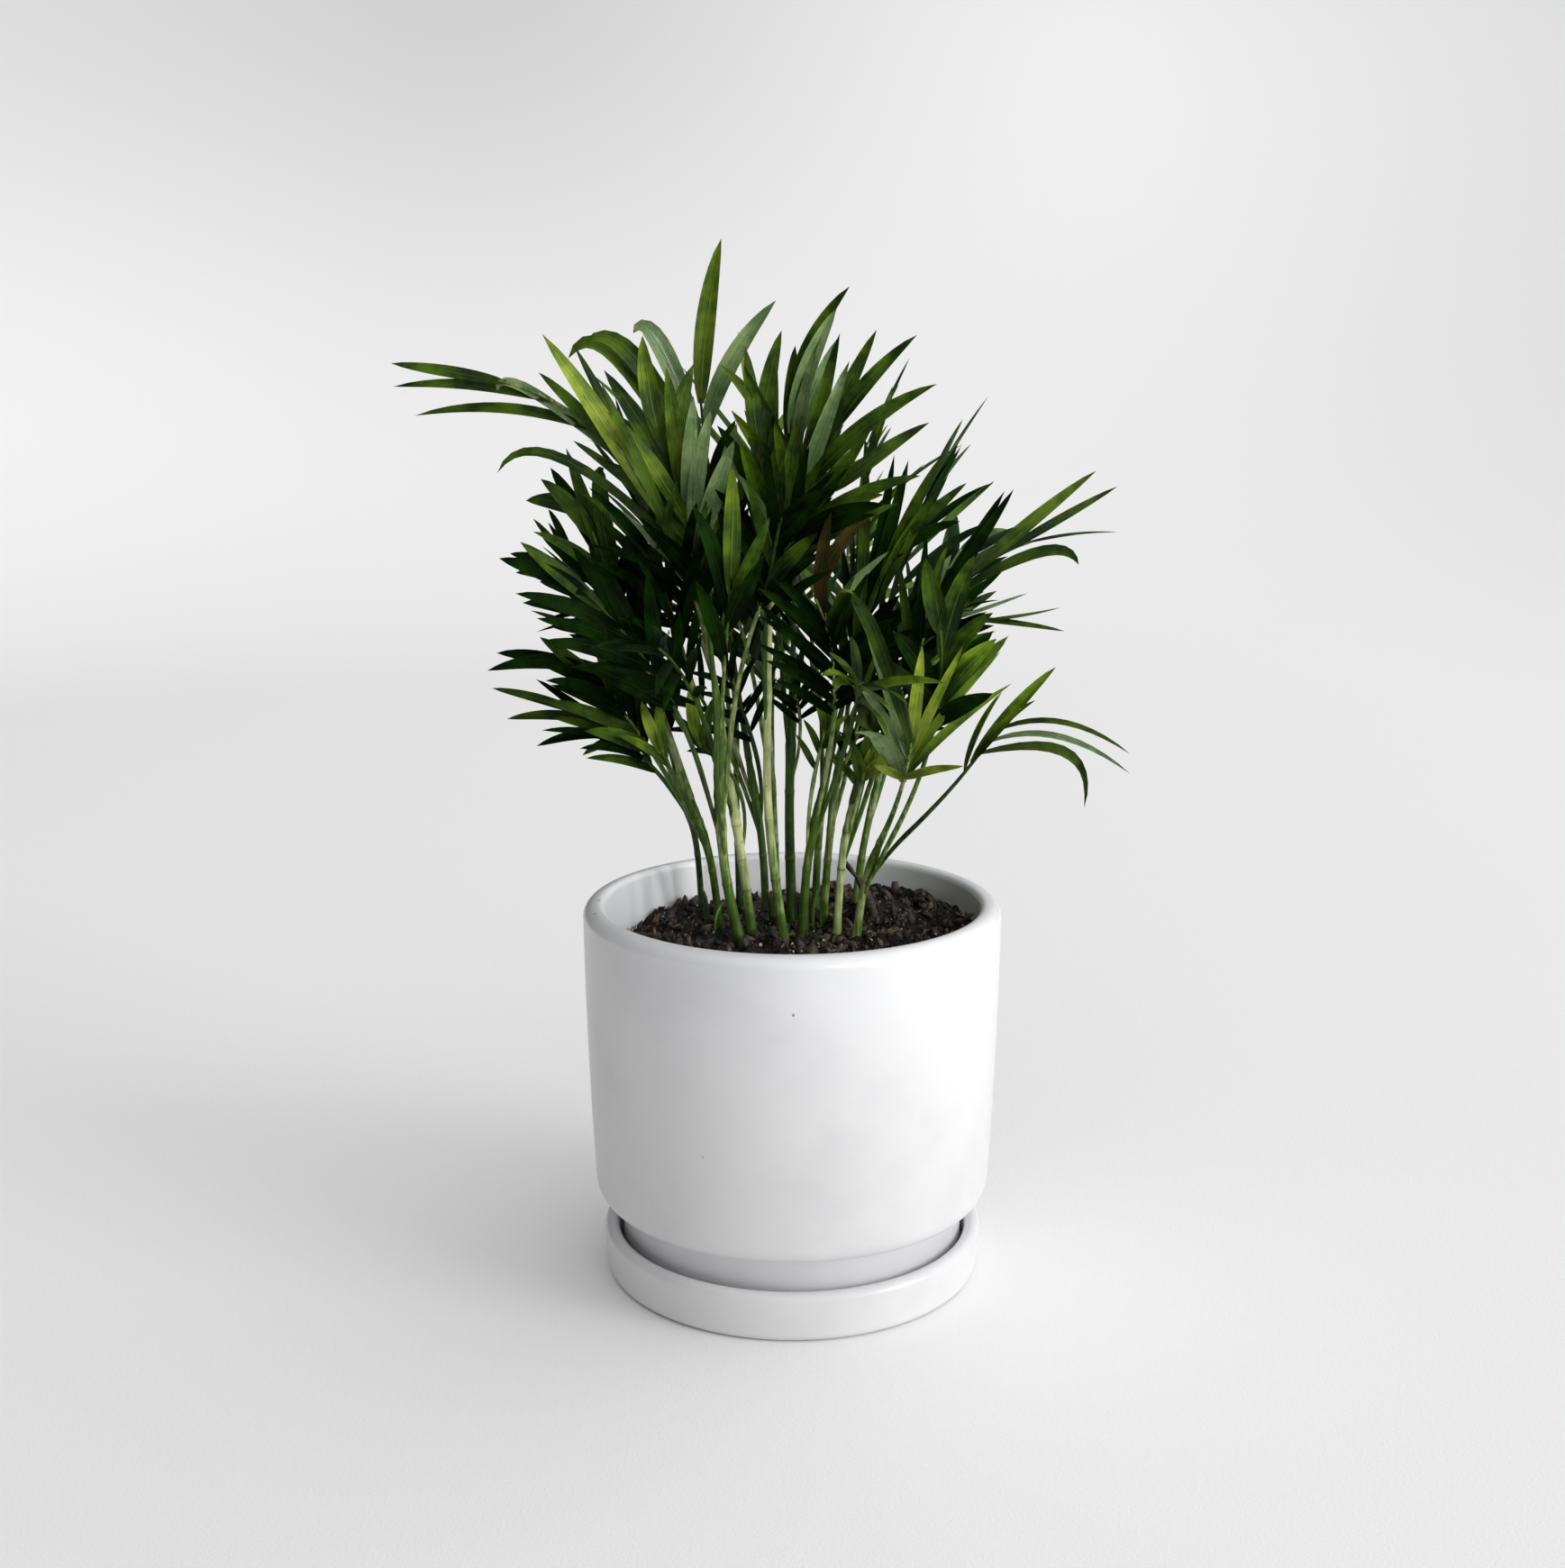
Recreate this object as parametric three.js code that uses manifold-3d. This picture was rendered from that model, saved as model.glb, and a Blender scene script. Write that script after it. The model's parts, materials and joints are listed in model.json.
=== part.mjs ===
// A parlour palm in a white glazed pot that stands in its own saucer.
//
// Millimetres, +Z up. The origin is on the pot's axis, at the flat underside of the saucer.
// +X is to the right of the plant as it is looked at, and +Y is away from the onlooker.
//
// The saucer holds the pot, the pot holds the potting soil, the canes stand in sockets in the soil,
// and every cane carries a few fronds. Pieces that touch keep a gap of CLEAR between them.

import * as THREE from 'three';
import { mergeVertices } from 'three/addons/utils/BufferGeometryUtils.js';
import Module from 'manifold-3d';

const wasm = await Module();
wasm.setup();

// ---------------------------------------------------------------- driving dimensions

const CLEAR = 0.3;            // gap between pieces that touch
const ROUND = 36;             // facets round the pot, the saucer and the soil
const WALL = 8;               // thickness of the pot's wall

const SAUCER = {
  radius: 74,                 // outer radius just under the lip
  footRadius: 72.9,           // outer radius just over the underside
  height: 19.1,
  floor: 5.5,                 // thickness of the floor
  inside: 68,                 // inner radius
  edge: 3.5,                  // rounding of the underside
  lip: 3,                     // rounding of the lip
  fillet: 2,                  // rounding between the floor and the wall
};

const POT = {
  height: 147.3,              // top of the lip
  radius: 80,                 // outer radius at the lip
  belly: [79.2, 95],          // outer radius and height where the wall bends a little
  waist: 76.8,                // outer radius where the bottom corner starts
  shoulder: 30.5,             // height of the step over the saucer
  corner: 8,                  // rounding of the bottom corner
  footRadius: 66.5,           // the narrow foot that stands in the saucer
  footEdge: 2,                // rounding under the foot
  outerLip: 5,                // rounding of the lip outside
  innerLip: 2.5,              // rounding of the lip inside
  floor: 8.2,                 // thickness of the floor
};

const SOIL = {
  rim: 131.5,                 // height at the wall
  mound: 4.5,                 // rise in the middle
  lump: 1.3,                  // height of the lumps
  rings: [60, 40, 20],        // radii of the rings of points on top
};

const SOCKET_DEPTH = 6;       // how far a cane stands in the soil
const CANE_SIDES = 6;
const CANE_STEPS = 4;

const STALK_STEP = 0.09;      // of the cane, from one stalk's foot down to the next
const STALK_LEAN = 0.12;      // how far a side stalk starts off its cane's direction
const RIB_STEPS = 5;
const RIB_RADIUS = 1.4;       // of the stalk at its foot
const RIB_TAPER = 0.8;        // how much of that is gone at the rib's end

const LEAF = {
  wide: 6.8,                  // widest part of an ordinary leaflet
  thick: 0.016,               // of the leaflet's length
  shoulder: [0.32, 1],        // share of the length and of the width at the first ring
  taper: [0.72, 0.7],         // and at the second
  lift: [-0.12, 0.42],        // how far a leaflet stands off the blade, as a share of its length
  droop: 0.16,                // how far a tip hangs, as a share of the length
  bow: 0.5,                   // how far the leaflet runs on before it bends, as a share of its reach
  gap: 0.05,                  // between the leaflets that crown a rib, as a share of the rib
};
const SEED = 41;

// Canes: foot is where the cane leaves the soil, via is a place half way up, and thick gives the
// radius at the foot and at the top.
const CANES = {
  cane_01: { foot: [-36, 35], via: [-38, 32, 160], top: [-43, 27, 186], thick: [1.3, 1.1] },
  cane_02: { foot: [-28, 17], via: [-32, 13, 160], top: [-39, 6, 186], thick: [1.6, 1.3] },
  cane_03: { foot: [-19, -13], via: [-25, -14, 160], top: [-28, -13, 198], thick: [2.1, 1.5] },
  cane_04: { foot: [-15, 3], via: [-19, 3, 160], top: [-25, 2, 200], thick: [2.0, 1.4] },
  cane_05: { foot: [-21, 38], via: [-22, 37, 172], top: [-22, 33, 212], thick: [1.3, 1.1] },
  cane_06: { foot: [-10, 28], via: [-12, 27, 164], top: [-17, 24, 198], thick: [1.6, 1.3] },
  cane_07: { foot: [-3, -8], via: [-9, -9, 184], top: [-9, -9, 240], thick: [1.9, 1.3] },
  cane_08: { foot: [0, 15], via: [-1, 15, 180], top: [0, 13, 222], thick: [2.1, 1.6] },
  cane_09: { foot: [4, 1], via: [6, 0, 162], top: [13, -1, 196], thick: [1.8, 1.4] },
  cane_10: { foot: [12, 11], via: [14, 11, 162], top: [18, 12, 200], thick: [1.6, 1.3] },
  cane_11: { foot: [17, 2], via: [19, 1, 160], top: [23, -1, 186], thick: [1.6, 1.3] },
  cane_12: { foot: [24, -3], via: [28, -6, 156], top: [33, -10, 172], thick: [1.6, 1.3] },
  cane_13: { foot: [9, 32], via: [11, 34, 165], top: [15, 38, 200], thick: [1.6, 1.3] },
  cane_14: { foot: [-6, 43], via: [-7, 47, 165], top: [-9, 53, 196], thick: [1.6, 1.3] },
  cane_15: { foot: [24, 22], via: [28, 25, 160], top: [34, 30, 188], thick: [1.6, 1.3] },
};

// Fronds, from the first on each cane down.
// rib: end of the rib. rise: how far the stalk runs on up before it arches over. sway: how far its
// knee stands to the side. round: side of the cane that a lower stalk lies on, in degrees.
// face: the way the blade's upper side looks. crown: tips of the leaflets nearest the rib's end, from
// the end down, with a bow of their own where it is long. pairs: leaflets below those, by the rule,
// from bare of the rib's length on. open: their angles to the rib, at the first and the last pair.
const FRONDS = {
  left_arch: {
    cane: 'cane_04', rib: [-103, -27, 342], rise: 128, sway: [8, -16], face: [0.1, -1, 0.4], gap: 0.06,
    crown: [[-140, -30, 348], [-140, -28, 340], [-133, -27, 330], [-104, -26, 338, 0.9],
      [-89, -28, 345], [-87, -32, 358], [-105, -24, 310, 0.8], [-77, -26, 355], [-67, -34, 342]],
    pairs: 2, bare: 0.34, leaf: 36, open: [30, 24],
  },
  crown_tip: {
    cane: 'cane_06', rib: [-34, 10, 336], rise: 90, face: [0, -1, 0.1],
    crown: [[-26, 12, 393], [-6, 10, 371], [-58, 2, 359, 0.9], [-75, 0, 356, 0.8], [-82, 4, 350, 0.9]],
    pairs: 4, bare: 0.48, leaf: 42, open: [28, 20],
  },
  left_high: {
    cane: 'cane_03', rib: [-48, -6, 320], rise: 74, sway: [6, 6], face: [0.2, -1, 0.2],
    crown: [[-54, -6, 358], [-36, -2, 348], [-68, -8, 346]],
    pairs: 4, bare: 0.5, leaf: 42, open: [26, 18],
  },
  right_high: {
    cane: 'cane_07', rib: [12, -13, 322], rise: 40, face: [-0.2, -1, 0.3], gap: 0.07,
    crown: [[44, -16, 358], [30, -10, 360], [51, -20, 341], [17, -4, 359], [20, -18, 349]],
    pairs: 3, bare: 0.28, leaf: 40, open: [28, 20],
  },
  right_crest: {
    cane: 'cane_08', rib: [-1, 10, 334], rise: 62, face: [-0.2, -1, 0.2],
    crown: [[21, 10, 376], [16, 6, 368], [1, 14, 355]],
    pairs: 4, bare: 0.4, leaf: 42, open: [24, 16],
  },
  right_sweep: {
    cane: 'cane_03', rib: [16, -36, 306], rise: 78, sway: [0, -8], round: -30, face: [-0.3, -1, 0.5],
    crown: [[47, -41, 328], [27, -42, 326], [44, -44, 310]],
    pairs: 4, bare: 0.55, leaf: 38, open: [30, 20],
  },
  centre_high: {
    cane: 'cane_08', rib: [-12, -2, 314], rise: 54, round: -130, face: [0.1, -1, 0.1], gap: 0.06,
    crown: [[-4, 0, 360], [-17, -6, 354], [-6, 6, 350]],
    pairs: 3, bare: 0.42, leaf: 38, open: [24, 14],
  },
  right_mid: {
    cane: 'cane_09', rib: [43, -12, 288], rise: 84, face: [-0.4, -1, 0.3], gap: 0.07,
    crown: [[63, -12, 306], [61, -10, 292], [54, -12, 316], [52, -15, 303], [42, -8, 314],
      [37, -6, 316], [26, -12, 323]],
    pairs: 2, bare: 0.36, leaf: 34, open: [34, 26],
  },
  right_reach: {
    cane: 'cane_11', rib: [88, -2, 284], rise: 85, sway: [5, 0], face: [-0.3, -0.8, 1], gap: 0.06,
    crown: [[121, 4, 287], [120, 2, 304], [111, -4, 310], [105, -8, 276, 0.8], [82, 4, 303],
      [79, 8, 302]],
    pairs: 3, bare: 0.42, leaf: 30, open: [36, 28],
  },
  right_wisps: {
    cane: 'cane_10', rib: [71, -14, 256], rise: 58, sway: [8, 0], face: [-0.2, -0.6, 1], wide: 5,
    crown: [[98, -14, 261], [100, -12, 252], [86, -12, 266], [85, -18, 256], [70, -20, 244]],
    pairs: 3, bare: 0.42, leaf: 28, open: [34, 24],
  },
  low_fan: {
    cane: 'cane_12', rib: [42, -42, 216], rise: 22, sway: [2, -3], face: [0, -1, 0.2], gap: 0.045,
    crown: [[14, -52, 268, 1.1], [45, -50, 252], [24, -56, 263], [60, -46, 252], [73, -44, 249],
      [19, -58, 245], [77, -46, 238], [21, -56, 222, 0.7]],
    pairs: 1, bare: 0.6, leaf: 24, open: [40, 36],
  },
  low_reach_right: {
    cane: 'cane_12', rib: [73, -32, 219], rise: 38, sway: [12, -12], round: -30, face: [0, -0.5, 1],
    gap: 0.04,
    crown: [[121, -38, 211], [122, -34, 203], [106, -32, 190, 0.8], [94, -34, 242]],
    pairs: 1, bare: 0.72, leaf: 34, open: [20, 14], wide: 6,
  },
  low_tuft: {
    cane: 'cane_11', rib: [27, -11, 199], rise: 8, round: -70, face: [-0.2, -1, 0.2], wide: 6,
    crown: [[36, -16, 215], [28, -14, 215], [42, -18, 210], [22, -14, 211]],
    pairs: 0,
  },
  left_fan_high: {
    cane: 'cane_02', rib: [-77, -2, 295], rise: 64, face: [0.2, -1, 0.2],
    crown: [[-98, -2, 299], [-92, -5, 307], [-89, 0, 311], [-83, 0, 318], [-69, -4, 311, 0.8]],
    pairs: 4, bare: 0.44, leaf: 35, open: [32, 22],
  },
  left_fan_mid: {
    cane: 'cane_03', rib: [-75, -24, 268], rise: 46, round: -165, face: [0.1, -1, 0.3], wide: 8,
    crown: [[-105, -26, 280], [-97, -28, 286], [-97, -26, 264], [-87, -24, 255]],
    pairs: 4, bare: 0.42, leaf: 37, open: [30, 20],
  },
  left_fan_low: {
    cane: 'cane_02', rib: [-76, -16, 239], rise: 36, round: -150, face: [0.1, -1, 0.5],
    crown: [[-112, -16, 238], [-109, -12, 244], [-92, -20, 251]],
    pairs: 4, bare: 0.42, leaf: 35, open: [30, 20],
  },
  low_reach_left: {
    cane: 'cane_02', rib: [-78, -6, 220], rise: 30, round: 165, face: [0.1, -0.9, 0.8], wide: 5.8,
    crown: [[-112, -6, 230], [-107, -4, 218], [-95, -10, 234], [-96, -6, 208], [-78, -14, 206]],
    pairs: 3, bare: 0.4, leaf: 30, open: [28, 20],
  },
  left_inner: {
    cane: 'cane_04', rib: [-52, -12, 284], rise: 62, round: -155, face: [0.3, -1, 0.2],
    pairs: 6, bare: 0.45, leaf: 38, open: [34, 18],
  },
  left_core: {
    cane: 'cane_05', rib: [-54, 16, 262], rise: 40, face: [-0.7, -0.8, 0.3],
    pairs: 6, bare: 0.36, leaf: 36, open: [38, 20],
  },
  left_skirt: {
    cane: 'cane_01', rib: [-66, 20, 232], rise: 34, face: [-0.3, -1, 0.3],
    pairs: 5, bare: 0.36, leaf: 32, open: [34, 20],
  },
  front_centre: {
    cane: 'cane_03', rib: [-22, -40, 270], rise: 42, sway: [0, -8], round: -75, face: [0.2, -1, 0],
    wide: 8,
    crown: [[-21, -46, 314], [-35, -44, 300], [-8, -46, 296]],
    pairs: 2, bare: 0.7, leaf: 40, open: [24, 14],
  },
  front_spray: {
    cane: 'cane_09', rib: [8, -32, 266], rise: 50, sway: [0, -6], round: -100, face: [0, -1, 0.3],
    crown: [[28, -42, 298], [12, -42, 300], [34, -40, 284]],
    pairs: 5, bare: 0.4, leaf: 36, open: [40, 24],
  },
  right_core: {
    cane: 'cane_11', rib: [48, -16, 250], rise: 42, round: -30, face: [-0.2, -1, 0.4],
    pairs: 6, bare: 0.38, leaf: 36, open: [36, 20],
  },
  right_broad: {
    cane: 'cane_12', rib: [52, -41, 256], rise: 60, sway: [4, -8], round: -65, face: [-0.3, -1, 0.4],
    wide: 9.5,
    crown: [[46, -46, 282], [63, -46, 283], [75, -44, 271], [71, -48, 254]],
    pairs: 2, bare: 0.62, leaf: 32, open: [34, 26],
  },
  front_left: {
    cane: 'cane_04', rib: [-46, -60, 252], rise: 48, round: -120, face: [-0.3, -1, 0.5],
    pairs: 5, bare: 0.46, leaf: 36, open: [34, 18],
  },
  front_right: {
    cane: 'cane_09', rib: [22, -68, 240], rise: 46, round: -50, face: [0.2, -1, 0.7],
    pairs: 4, bare: 0.5, leaf: 35, open: [34, 20],
  },
  front_up: {
    cane: 'cane_07', rib: [-4, -44, 296], rise: 36, round: -110, face: [0, -1, 0.3],
    pairs: 5, bare: 0.3, leaf: 37, open: [32, 16],
  },
  centre_core: {
    cane: 'cane_10', rib: [22, 22, 264], rise: 42, round: 70, face: [1, -0.4, 0.2],
    pairs: 5, bare: 0.34, leaf: 36, open: [38, 20],
  },
  left_crest: {
    cane: 'cane_06', rib: [-62, 38, 312], rise: 76, round: 165, face: [-0.8, -0.3, 0.4],
    pairs: 6, bare: 0.48, leaf: 40, open: [32, 18],
  },
  right_shoulder: {
    cane: 'cane_10', rib: [52, 30, 304], rise: 66, round: 30, face: [0.8, -0.3, 0.4],
    pairs: 6, bare: 0.42, leaf: 40, open: [32, 18],
  },
  back_crest_left: {
    cane: 'cane_05', rib: [-48, 66, 314], rise: 66, round: 130, face: [-0.9, 0.5, 0.3],
    pairs: 6, bare: 0.42, leaf: 40, open: [36, 20],
  },
  back_crest: {
    cane: 'cane_14', rib: [-14, 84, 322], rise: 82, face: [-0.7, 0.8, 0.3],
    pairs: 6, bare: 0.45, leaf: 42, open: [36, 20],
  },
  back_crest_right: {
    cane: 'cane_13', rib: [30, 68, 318], rise: 78, face: [0.9, 0.5, 0.3],
    pairs: 6, bare: 0.45, leaf: 42, open: [36, 20],
  },
  back_right: {
    cane: 'cane_15', rib: [68, 60, 276], rise: 66, face: [0.6, 0.6, 0.8],
    pairs: 6, bare: 0.42, leaf: 35, open: [40, 22],
  },
  back_low_right: {
    cane: 'cane_15', rib: [50, 88, 244], rise: 50, round: 55, face: [0.5, 0.6, 0.8],
    pairs: 5, bare: 0.4, leaf: 33, open: [40, 24],
  },
  back_mid: {
    cane: 'cane_13', rib: [24, 106, 280], rise: 60, round: 80, face: [0.1, 0.9, 0.7],
    pairs: 6, bare: 0.4, leaf: 35, open: [40, 22],
  },
  back_mid_left: {
    cane: 'cane_14', rib: [-36, 108, 272], rise: 62, round: 115, face: [-0.2, 0.9, 0.7],
    pairs: 6, bare: 0.4, leaf: 35, open: [40, 22],
  },
  back_left: {
    cane: 'cane_01', rib: [-88, 60, 268], rise: 70, round: 145, face: [-0.7, 0.5, 0.6],
    pairs: 6, bare: 0.42, leaf: 35, open: [40, 22],
  },
  back_low_left: {
    cane: 'cane_01', rib: [-64, 86, 244], rise: 48, round: 110, face: [-0.6, 0.6, 0.8],
    pairs: 5, bare: 0.4, leaf: 32, open: [40, 24],
  },
  back_skirt: {
    cane: 'cane_14', rib: [-4, 112, 248], rise: 44, round: 80, face: [0, 0.8, 0.9],
    pairs: 5, bare: 0.4, leaf: 32, open: [40, 24],
  },
  back_core: {
    cane: 'cane_13', rib: [2, 62, 262], rise: 40, round: 120, face: [-1, 0.4, 0.2],
    pairs: 5, bare: 0.35, leaf: 34, open: [40, 22],
  },
};

// ---------------------------------------------------------------- materials

const GLAZE = { color: 0xf1f0ee, roughness: 0.32, metalness: 0 };
const PEAT = { color: 0x2a211c, roughness: 0.95, metalness: 0 };
const CANE_GREEN = { color: 0x6f8f4a, roughness: 0.55, metalness: 0 };
const LEAF_GREEN = { color: 0x1f4a12, roughness: 0.45, metalness: 0 };

function named(name, geometry, finish) {
  const mesh = new THREE.Mesh(geometry, new THREE.MeshStandardMaterial(finish));
  mesh.name = name;
  return mesh;
}

// ---------------------------------------------------------------- small tools

const vec = ([x, y, z]) => new THREE.Vector3(x, y, z);
const degrees = THREE.MathUtils.degToRad;
const between = (from, to, share) => from + (to - from) * share;

// A repeatable stream of numbers from 0 to 1.
function stream(seed) {
  let state = seed;
  return () => {
    state = (state * 16807) % 2147483647;
    return state / 2147483647;
  };
}

// Points on an arc about (r, z), from one angle to another in degrees.
function arc(r, z, radius, from, to, steps) {
  const points = [];
  for (let i = 0; i <= steps; i += 1) {
    const angle = degrees(between(from, to, i / steps));
    points.push(new THREE.Vector2(r + radius * Math.cos(angle), z + radius * Math.sin(angle)));
  }
  return points;
}

// A solid of revolution about +Z, from a profile of radius and height that starts and ends on the axis.
function turned(profile) {
  const geometry = new THREE.LatheGeometry(profile, ROUND);
  geometry.rotateX(Math.PI / 2);
  return geometry;
}

// Faces between two rings, or between a ring and a point.
function bridge(start, size, nextStart, nextSize) {
  const faces = [];
  const sides = Math.max(size, nextSize);
  for (let k = 0; k < sides; k += 1) {
    const near = start + (k % size);
    const nearNext = start + ((k + 1) % size);
    const far = nextStart + (k % nextSize);
    const farNext = nextStart + ((k + 1) % nextSize);
    if (size > 1) faces.push(near, nearNext, far);
    if (nextSize > 1) faces.push(nearNext, farNext, far);
  }
  return faces;
}

// A flat end over a ring.
function lid(start, size, backwards) {
  const faces = [];
  for (let k = 1; k + 1 < size; k += 1) {
    if (backwards) faces.push(start, start + k + 1, start + k);
    else faces.push(start, start + k, start + k + 1);
  }
  return faces;
}

// A closed skin over rings of points. A ring of one point is a pointed end.
function skin(rings) {
  const starts = [];
  let count = 0;
  for (const ring of rings) {
    starts.push(count);
    count += ring.length;
  }
  const last = rings.length - 1;
  const faces = [...lid(starts[0], rings[0].length, true), ...lid(starts[last], rings[last].length, false)];
  for (let i = 0; i < last; i += 1) {
    faces.push(...bridge(starts[i], rings[i].length, starts[i + 1], rings[i + 1].length));
  }
  const positions = rings.flat().flatMap((point) => point.toArray());
  const geometry = new THREE.BufferGeometry();
  geometry.setAttribute('position', new THREE.Float32BufferAttribute(positions, 3));
  geometry.setIndex(faces);
  return geometry;
}

// ---------------------------------------------------------------- solids

function solidOf(geometry) {
  const bare = geometry.clone();
  bare.deleteAttribute('normal');
  bare.deleteAttribute('uv');
  const merged = mergeVertices(bare, 1e-4);
  const index = merged.getIndex().array;
  const triangles = [];
  for (let i = 0; i < index.length; i += 3) {
    const [a, b, c] = [index[i], index[i + 1], index[i + 2]];
    if (a !== b && b !== c && c !== a) triangles.push(a, b, c);
  }
  const vertProperties = Float32Array.from(merged.getAttribute('position').array);
  const triVerts = Uint32Array.from(triangles);
  return new wasm.Manifold(new wasm.Mesh({ numProp: 3, vertProperties, triVerts }));
}

function geometryOf(solid) {
  const { vertProperties, triVerts } = solid.getMesh();
  const geometry = new THREE.BufferGeometry();
  geometry.setAttribute('position', new THREE.BufferAttribute(Float32Array.from(vertProperties), 3));
  geometry.setIndex(Array.from(triVerts));
  return geometry;
}

// A solid with its box, so that far pieces are told apart quickly.
function body(geometry) {
  geometry.computeBoundingBox();
  return { solid: solidOf(geometry), box: geometry.boundingBox };
}

function touches(one, others) {
  return others.some((other) => one.box.intersectsBox(other.box)
    && !one.solid.intersect(other.solid).isEmpty());
}

// ---------------------------------------------------------------- saucer, pot and soil

function saucerShape() {
  const { radius, footRadius, height, floor, inside, edge, lip, fillet } = SAUCER;
  const innerLip = radius - inside - lip;
  return turned([
    new THREE.Vector2(0, 0),
    ...arc(footRadius - edge, edge, edge, -90, 0, 2),
    ...arc(radius - lip, height - lip, lip, 0, 90, 3),
    ...arc(inside + innerLip, height - innerLip, innerLip, 90, 180, 2),
    ...arc(inside - fillet, floor + fillet, fillet, 0, -90, 1),
    new THREE.Vector2(0, floor),
  ]);
}

// The inner outline of the pot, from under the lip down to the middle of the floor, drawn in by inset.
function potInside(inset) {
  const floor = SAUCER.floor + CLEAR + POT.floor;
  const narrow = POT.footRadius - WALL;
  const wide = POT.waist - WALL + 2;
  const round = 9;
  const fillet = 3;
  return [
    ...arc(wide - round - inset, POT.shoulder + WALL + round + inset, round, 0, -60, 2),
    new THREE.Vector2(narrow - inset, POT.shoulder + 3 + inset),
    ...arc(narrow - fillet - inset, floor + fillet + inset, fillet, 0, -90, 1),
    new THREE.Vector2(0, floor + inset),
  ];
}

function potShape() {
  const { height, radius, belly, waist, shoulder, corner, footRadius, footEdge, outerLip, innerLip } = POT;
  const under = SAUCER.floor + CLEAR;
  return turned([
    new THREE.Vector2(0, under),
    ...arc(footRadius - footEdge, under + footEdge, footEdge, -90, 0, 1),
    new THREE.Vector2(footRadius, shoulder),
    ...arc(waist - corner, shoulder + corner, corner, -90, 0, 3),
    new THREE.Vector2(...belly),
    ...arc(radius - outerLip, height - outerLip, outerLip, 0, 90, 3),
    ...arc(radius - WALL + innerLip, height - innerLip, innerLip, 90, 180, 2),
    ...potInside(0),
  ]);
}

// Height of the soil at a place: a low mound with lumps that fade out at the wall.
function soilHeight(x, y) {
  const reach = Math.min(1, Math.hypot(x, y) / (POT.radius - WALL));
  const lumps = Math.sin(x * 0.21 + 1.3) * Math.cos(y * 0.17) + 0.6 * Math.sin(x * 0.37 - y * 0.29);
  return SOIL.rim + (SOIL.mound + SOIL.lump * lumps) * (1 - reach * reach);
}

function soilShape() {
  const edge = POT.radius - WALL - CLEAR;
  const outline = potInside(CLEAR).reverse();
  const geometry = turned([
    ...outline,
    new THREE.Vector2(edge - 0.4, SOIL.rim - 2),
    ...SOIL.rings.map((radius) => new THREE.Vector2(radius, SOIL.rim)),
    new THREE.Vector2(0, SOIL.rim),
  ]);
  const position = geometry.getAttribute('position');
  for (let i = 0; i < position.count; i += 1) {
    if (position.getZ(i) > SOIL.rim - 1) {
      position.setZ(i, soilHeight(position.getX(i), position.getY(i)));
    }
  }
  return geometry;
}

// ---------------------------------------------------------------- canes

function canePath({ foot, via, top }) {
  const [x, y] = foot;
  const ground = new THREE.Vector3(x, y, soilHeight(x, y) - SOCKET_DEPTH);
  return new THREE.CatmullRomCurve3([ground, vec(via), vec(top)]);
}

function caneRadius({ thick }, share) {
  return between(thick[0], thick[1], share);
}

// Rings of equal sides along a curve, with a radius worked out for each share of its length.
function ringsAlong(curve, steps, sides, radiusAt) {
  const rings = [];
  let across = new THREE.Vector3(0, 1, 0);
  for (let i = 0; i <= steps; i += 1) {
    const centre = curve.getPointAt(i / steps);
    const along = curve.getTangentAt(i / steps);
    const beside = new THREE.Vector3().crossVectors(across, along).normalize();
    across = new THREE.Vector3().crossVectors(along, beside).normalize();
    const radius = radiusAt(i / steps);
    const ring = [];
    for (let k = 0; k < sides; k += 1) {
      const angle = (2 * Math.PI * k) / sides;
      ring.push(centre.clone()
        .addScaledVector(beside, radius * Math.cos(angle))
        .addScaledVector(across, radius * Math.sin(angle)));
    }
    rings.push(ring);
  }
  return rings;
}

function caneShape(cane) {
  return skin(ringsAlong(canePath(cane), CANE_STEPS, CANE_SIDES, (share) => caneRadius(cane, share)));
}

// The hole that a cane's foot stands in, a little wider and deeper than the cane.
function socketShape(cane) {
  const path = canePath(cane);
  const start = path.getPointAt(0).addScaledVector(path.getTangentAt(0), -CLEAR);
  const end = path.getPointAt(0.4);
  const radius = cane.thick[0] + 2 * CLEAR;
  return skin(ringsAlong(new THREE.LineCurve3(start, end), 1, CANE_SIDES, () => radius));
}

// ---------------------------------------------------------------- ribs

// Where a frond's stalk starts: the first on a cane carries on from its top, and each later one lies
// against the cane, a little lower, on the side that the angle round gives.
function stalkFoot(cane, order, round) {
  const path = canePath(cane);
  const share = 1 - STALK_STEP * order;
  const axis = path.getTangentAt(share);
  const spot = path.getPointAt(share);
  if (order === 0) return { spot: spot.addScaledVector(axis, CLEAR), axis };
  const outward = new THREE.Vector3(Math.cos(degrees(round)), Math.sin(degrees(round)), 0);
  outward.addScaledVector(axis, -outward.dot(axis)).normalize();
  spot.addScaledVector(outward, caneRadius(cane, share) + RIB_RADIUS + 2 * CLEAR);
  return { spot, axis: axis.addScaledVector(outward, STALK_LEAN).normalize() };
}

// The rib's curve, from the stalk's foot over its knee to the rib's end.
function ribCurve(frond, order) {
  const { spot, axis } = stalkFoot(CANES[frond.cane], order, frond.round);
  const [swayX, swayY] = frond.sway ?? [0, 0];
  const knee = spot.clone().addScaledVector(axis, frond.rise).add(new THREE.Vector3(swayX, swayY, 0));
  return new THREE.QuadraticBezierCurve3(spot, knee, vec(frond.rib));
}

function ribShape(curve, swell) {
  const radiusAt = (share) => RIB_RADIUS - RIB_TAPER * Math.pow(share, 0.8) + swell;
  return skin(ringsAlong(curve, RIB_STEPS, 3, radiusAt));
}

// ---------------------------------------------------------------- leaflets

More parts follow.
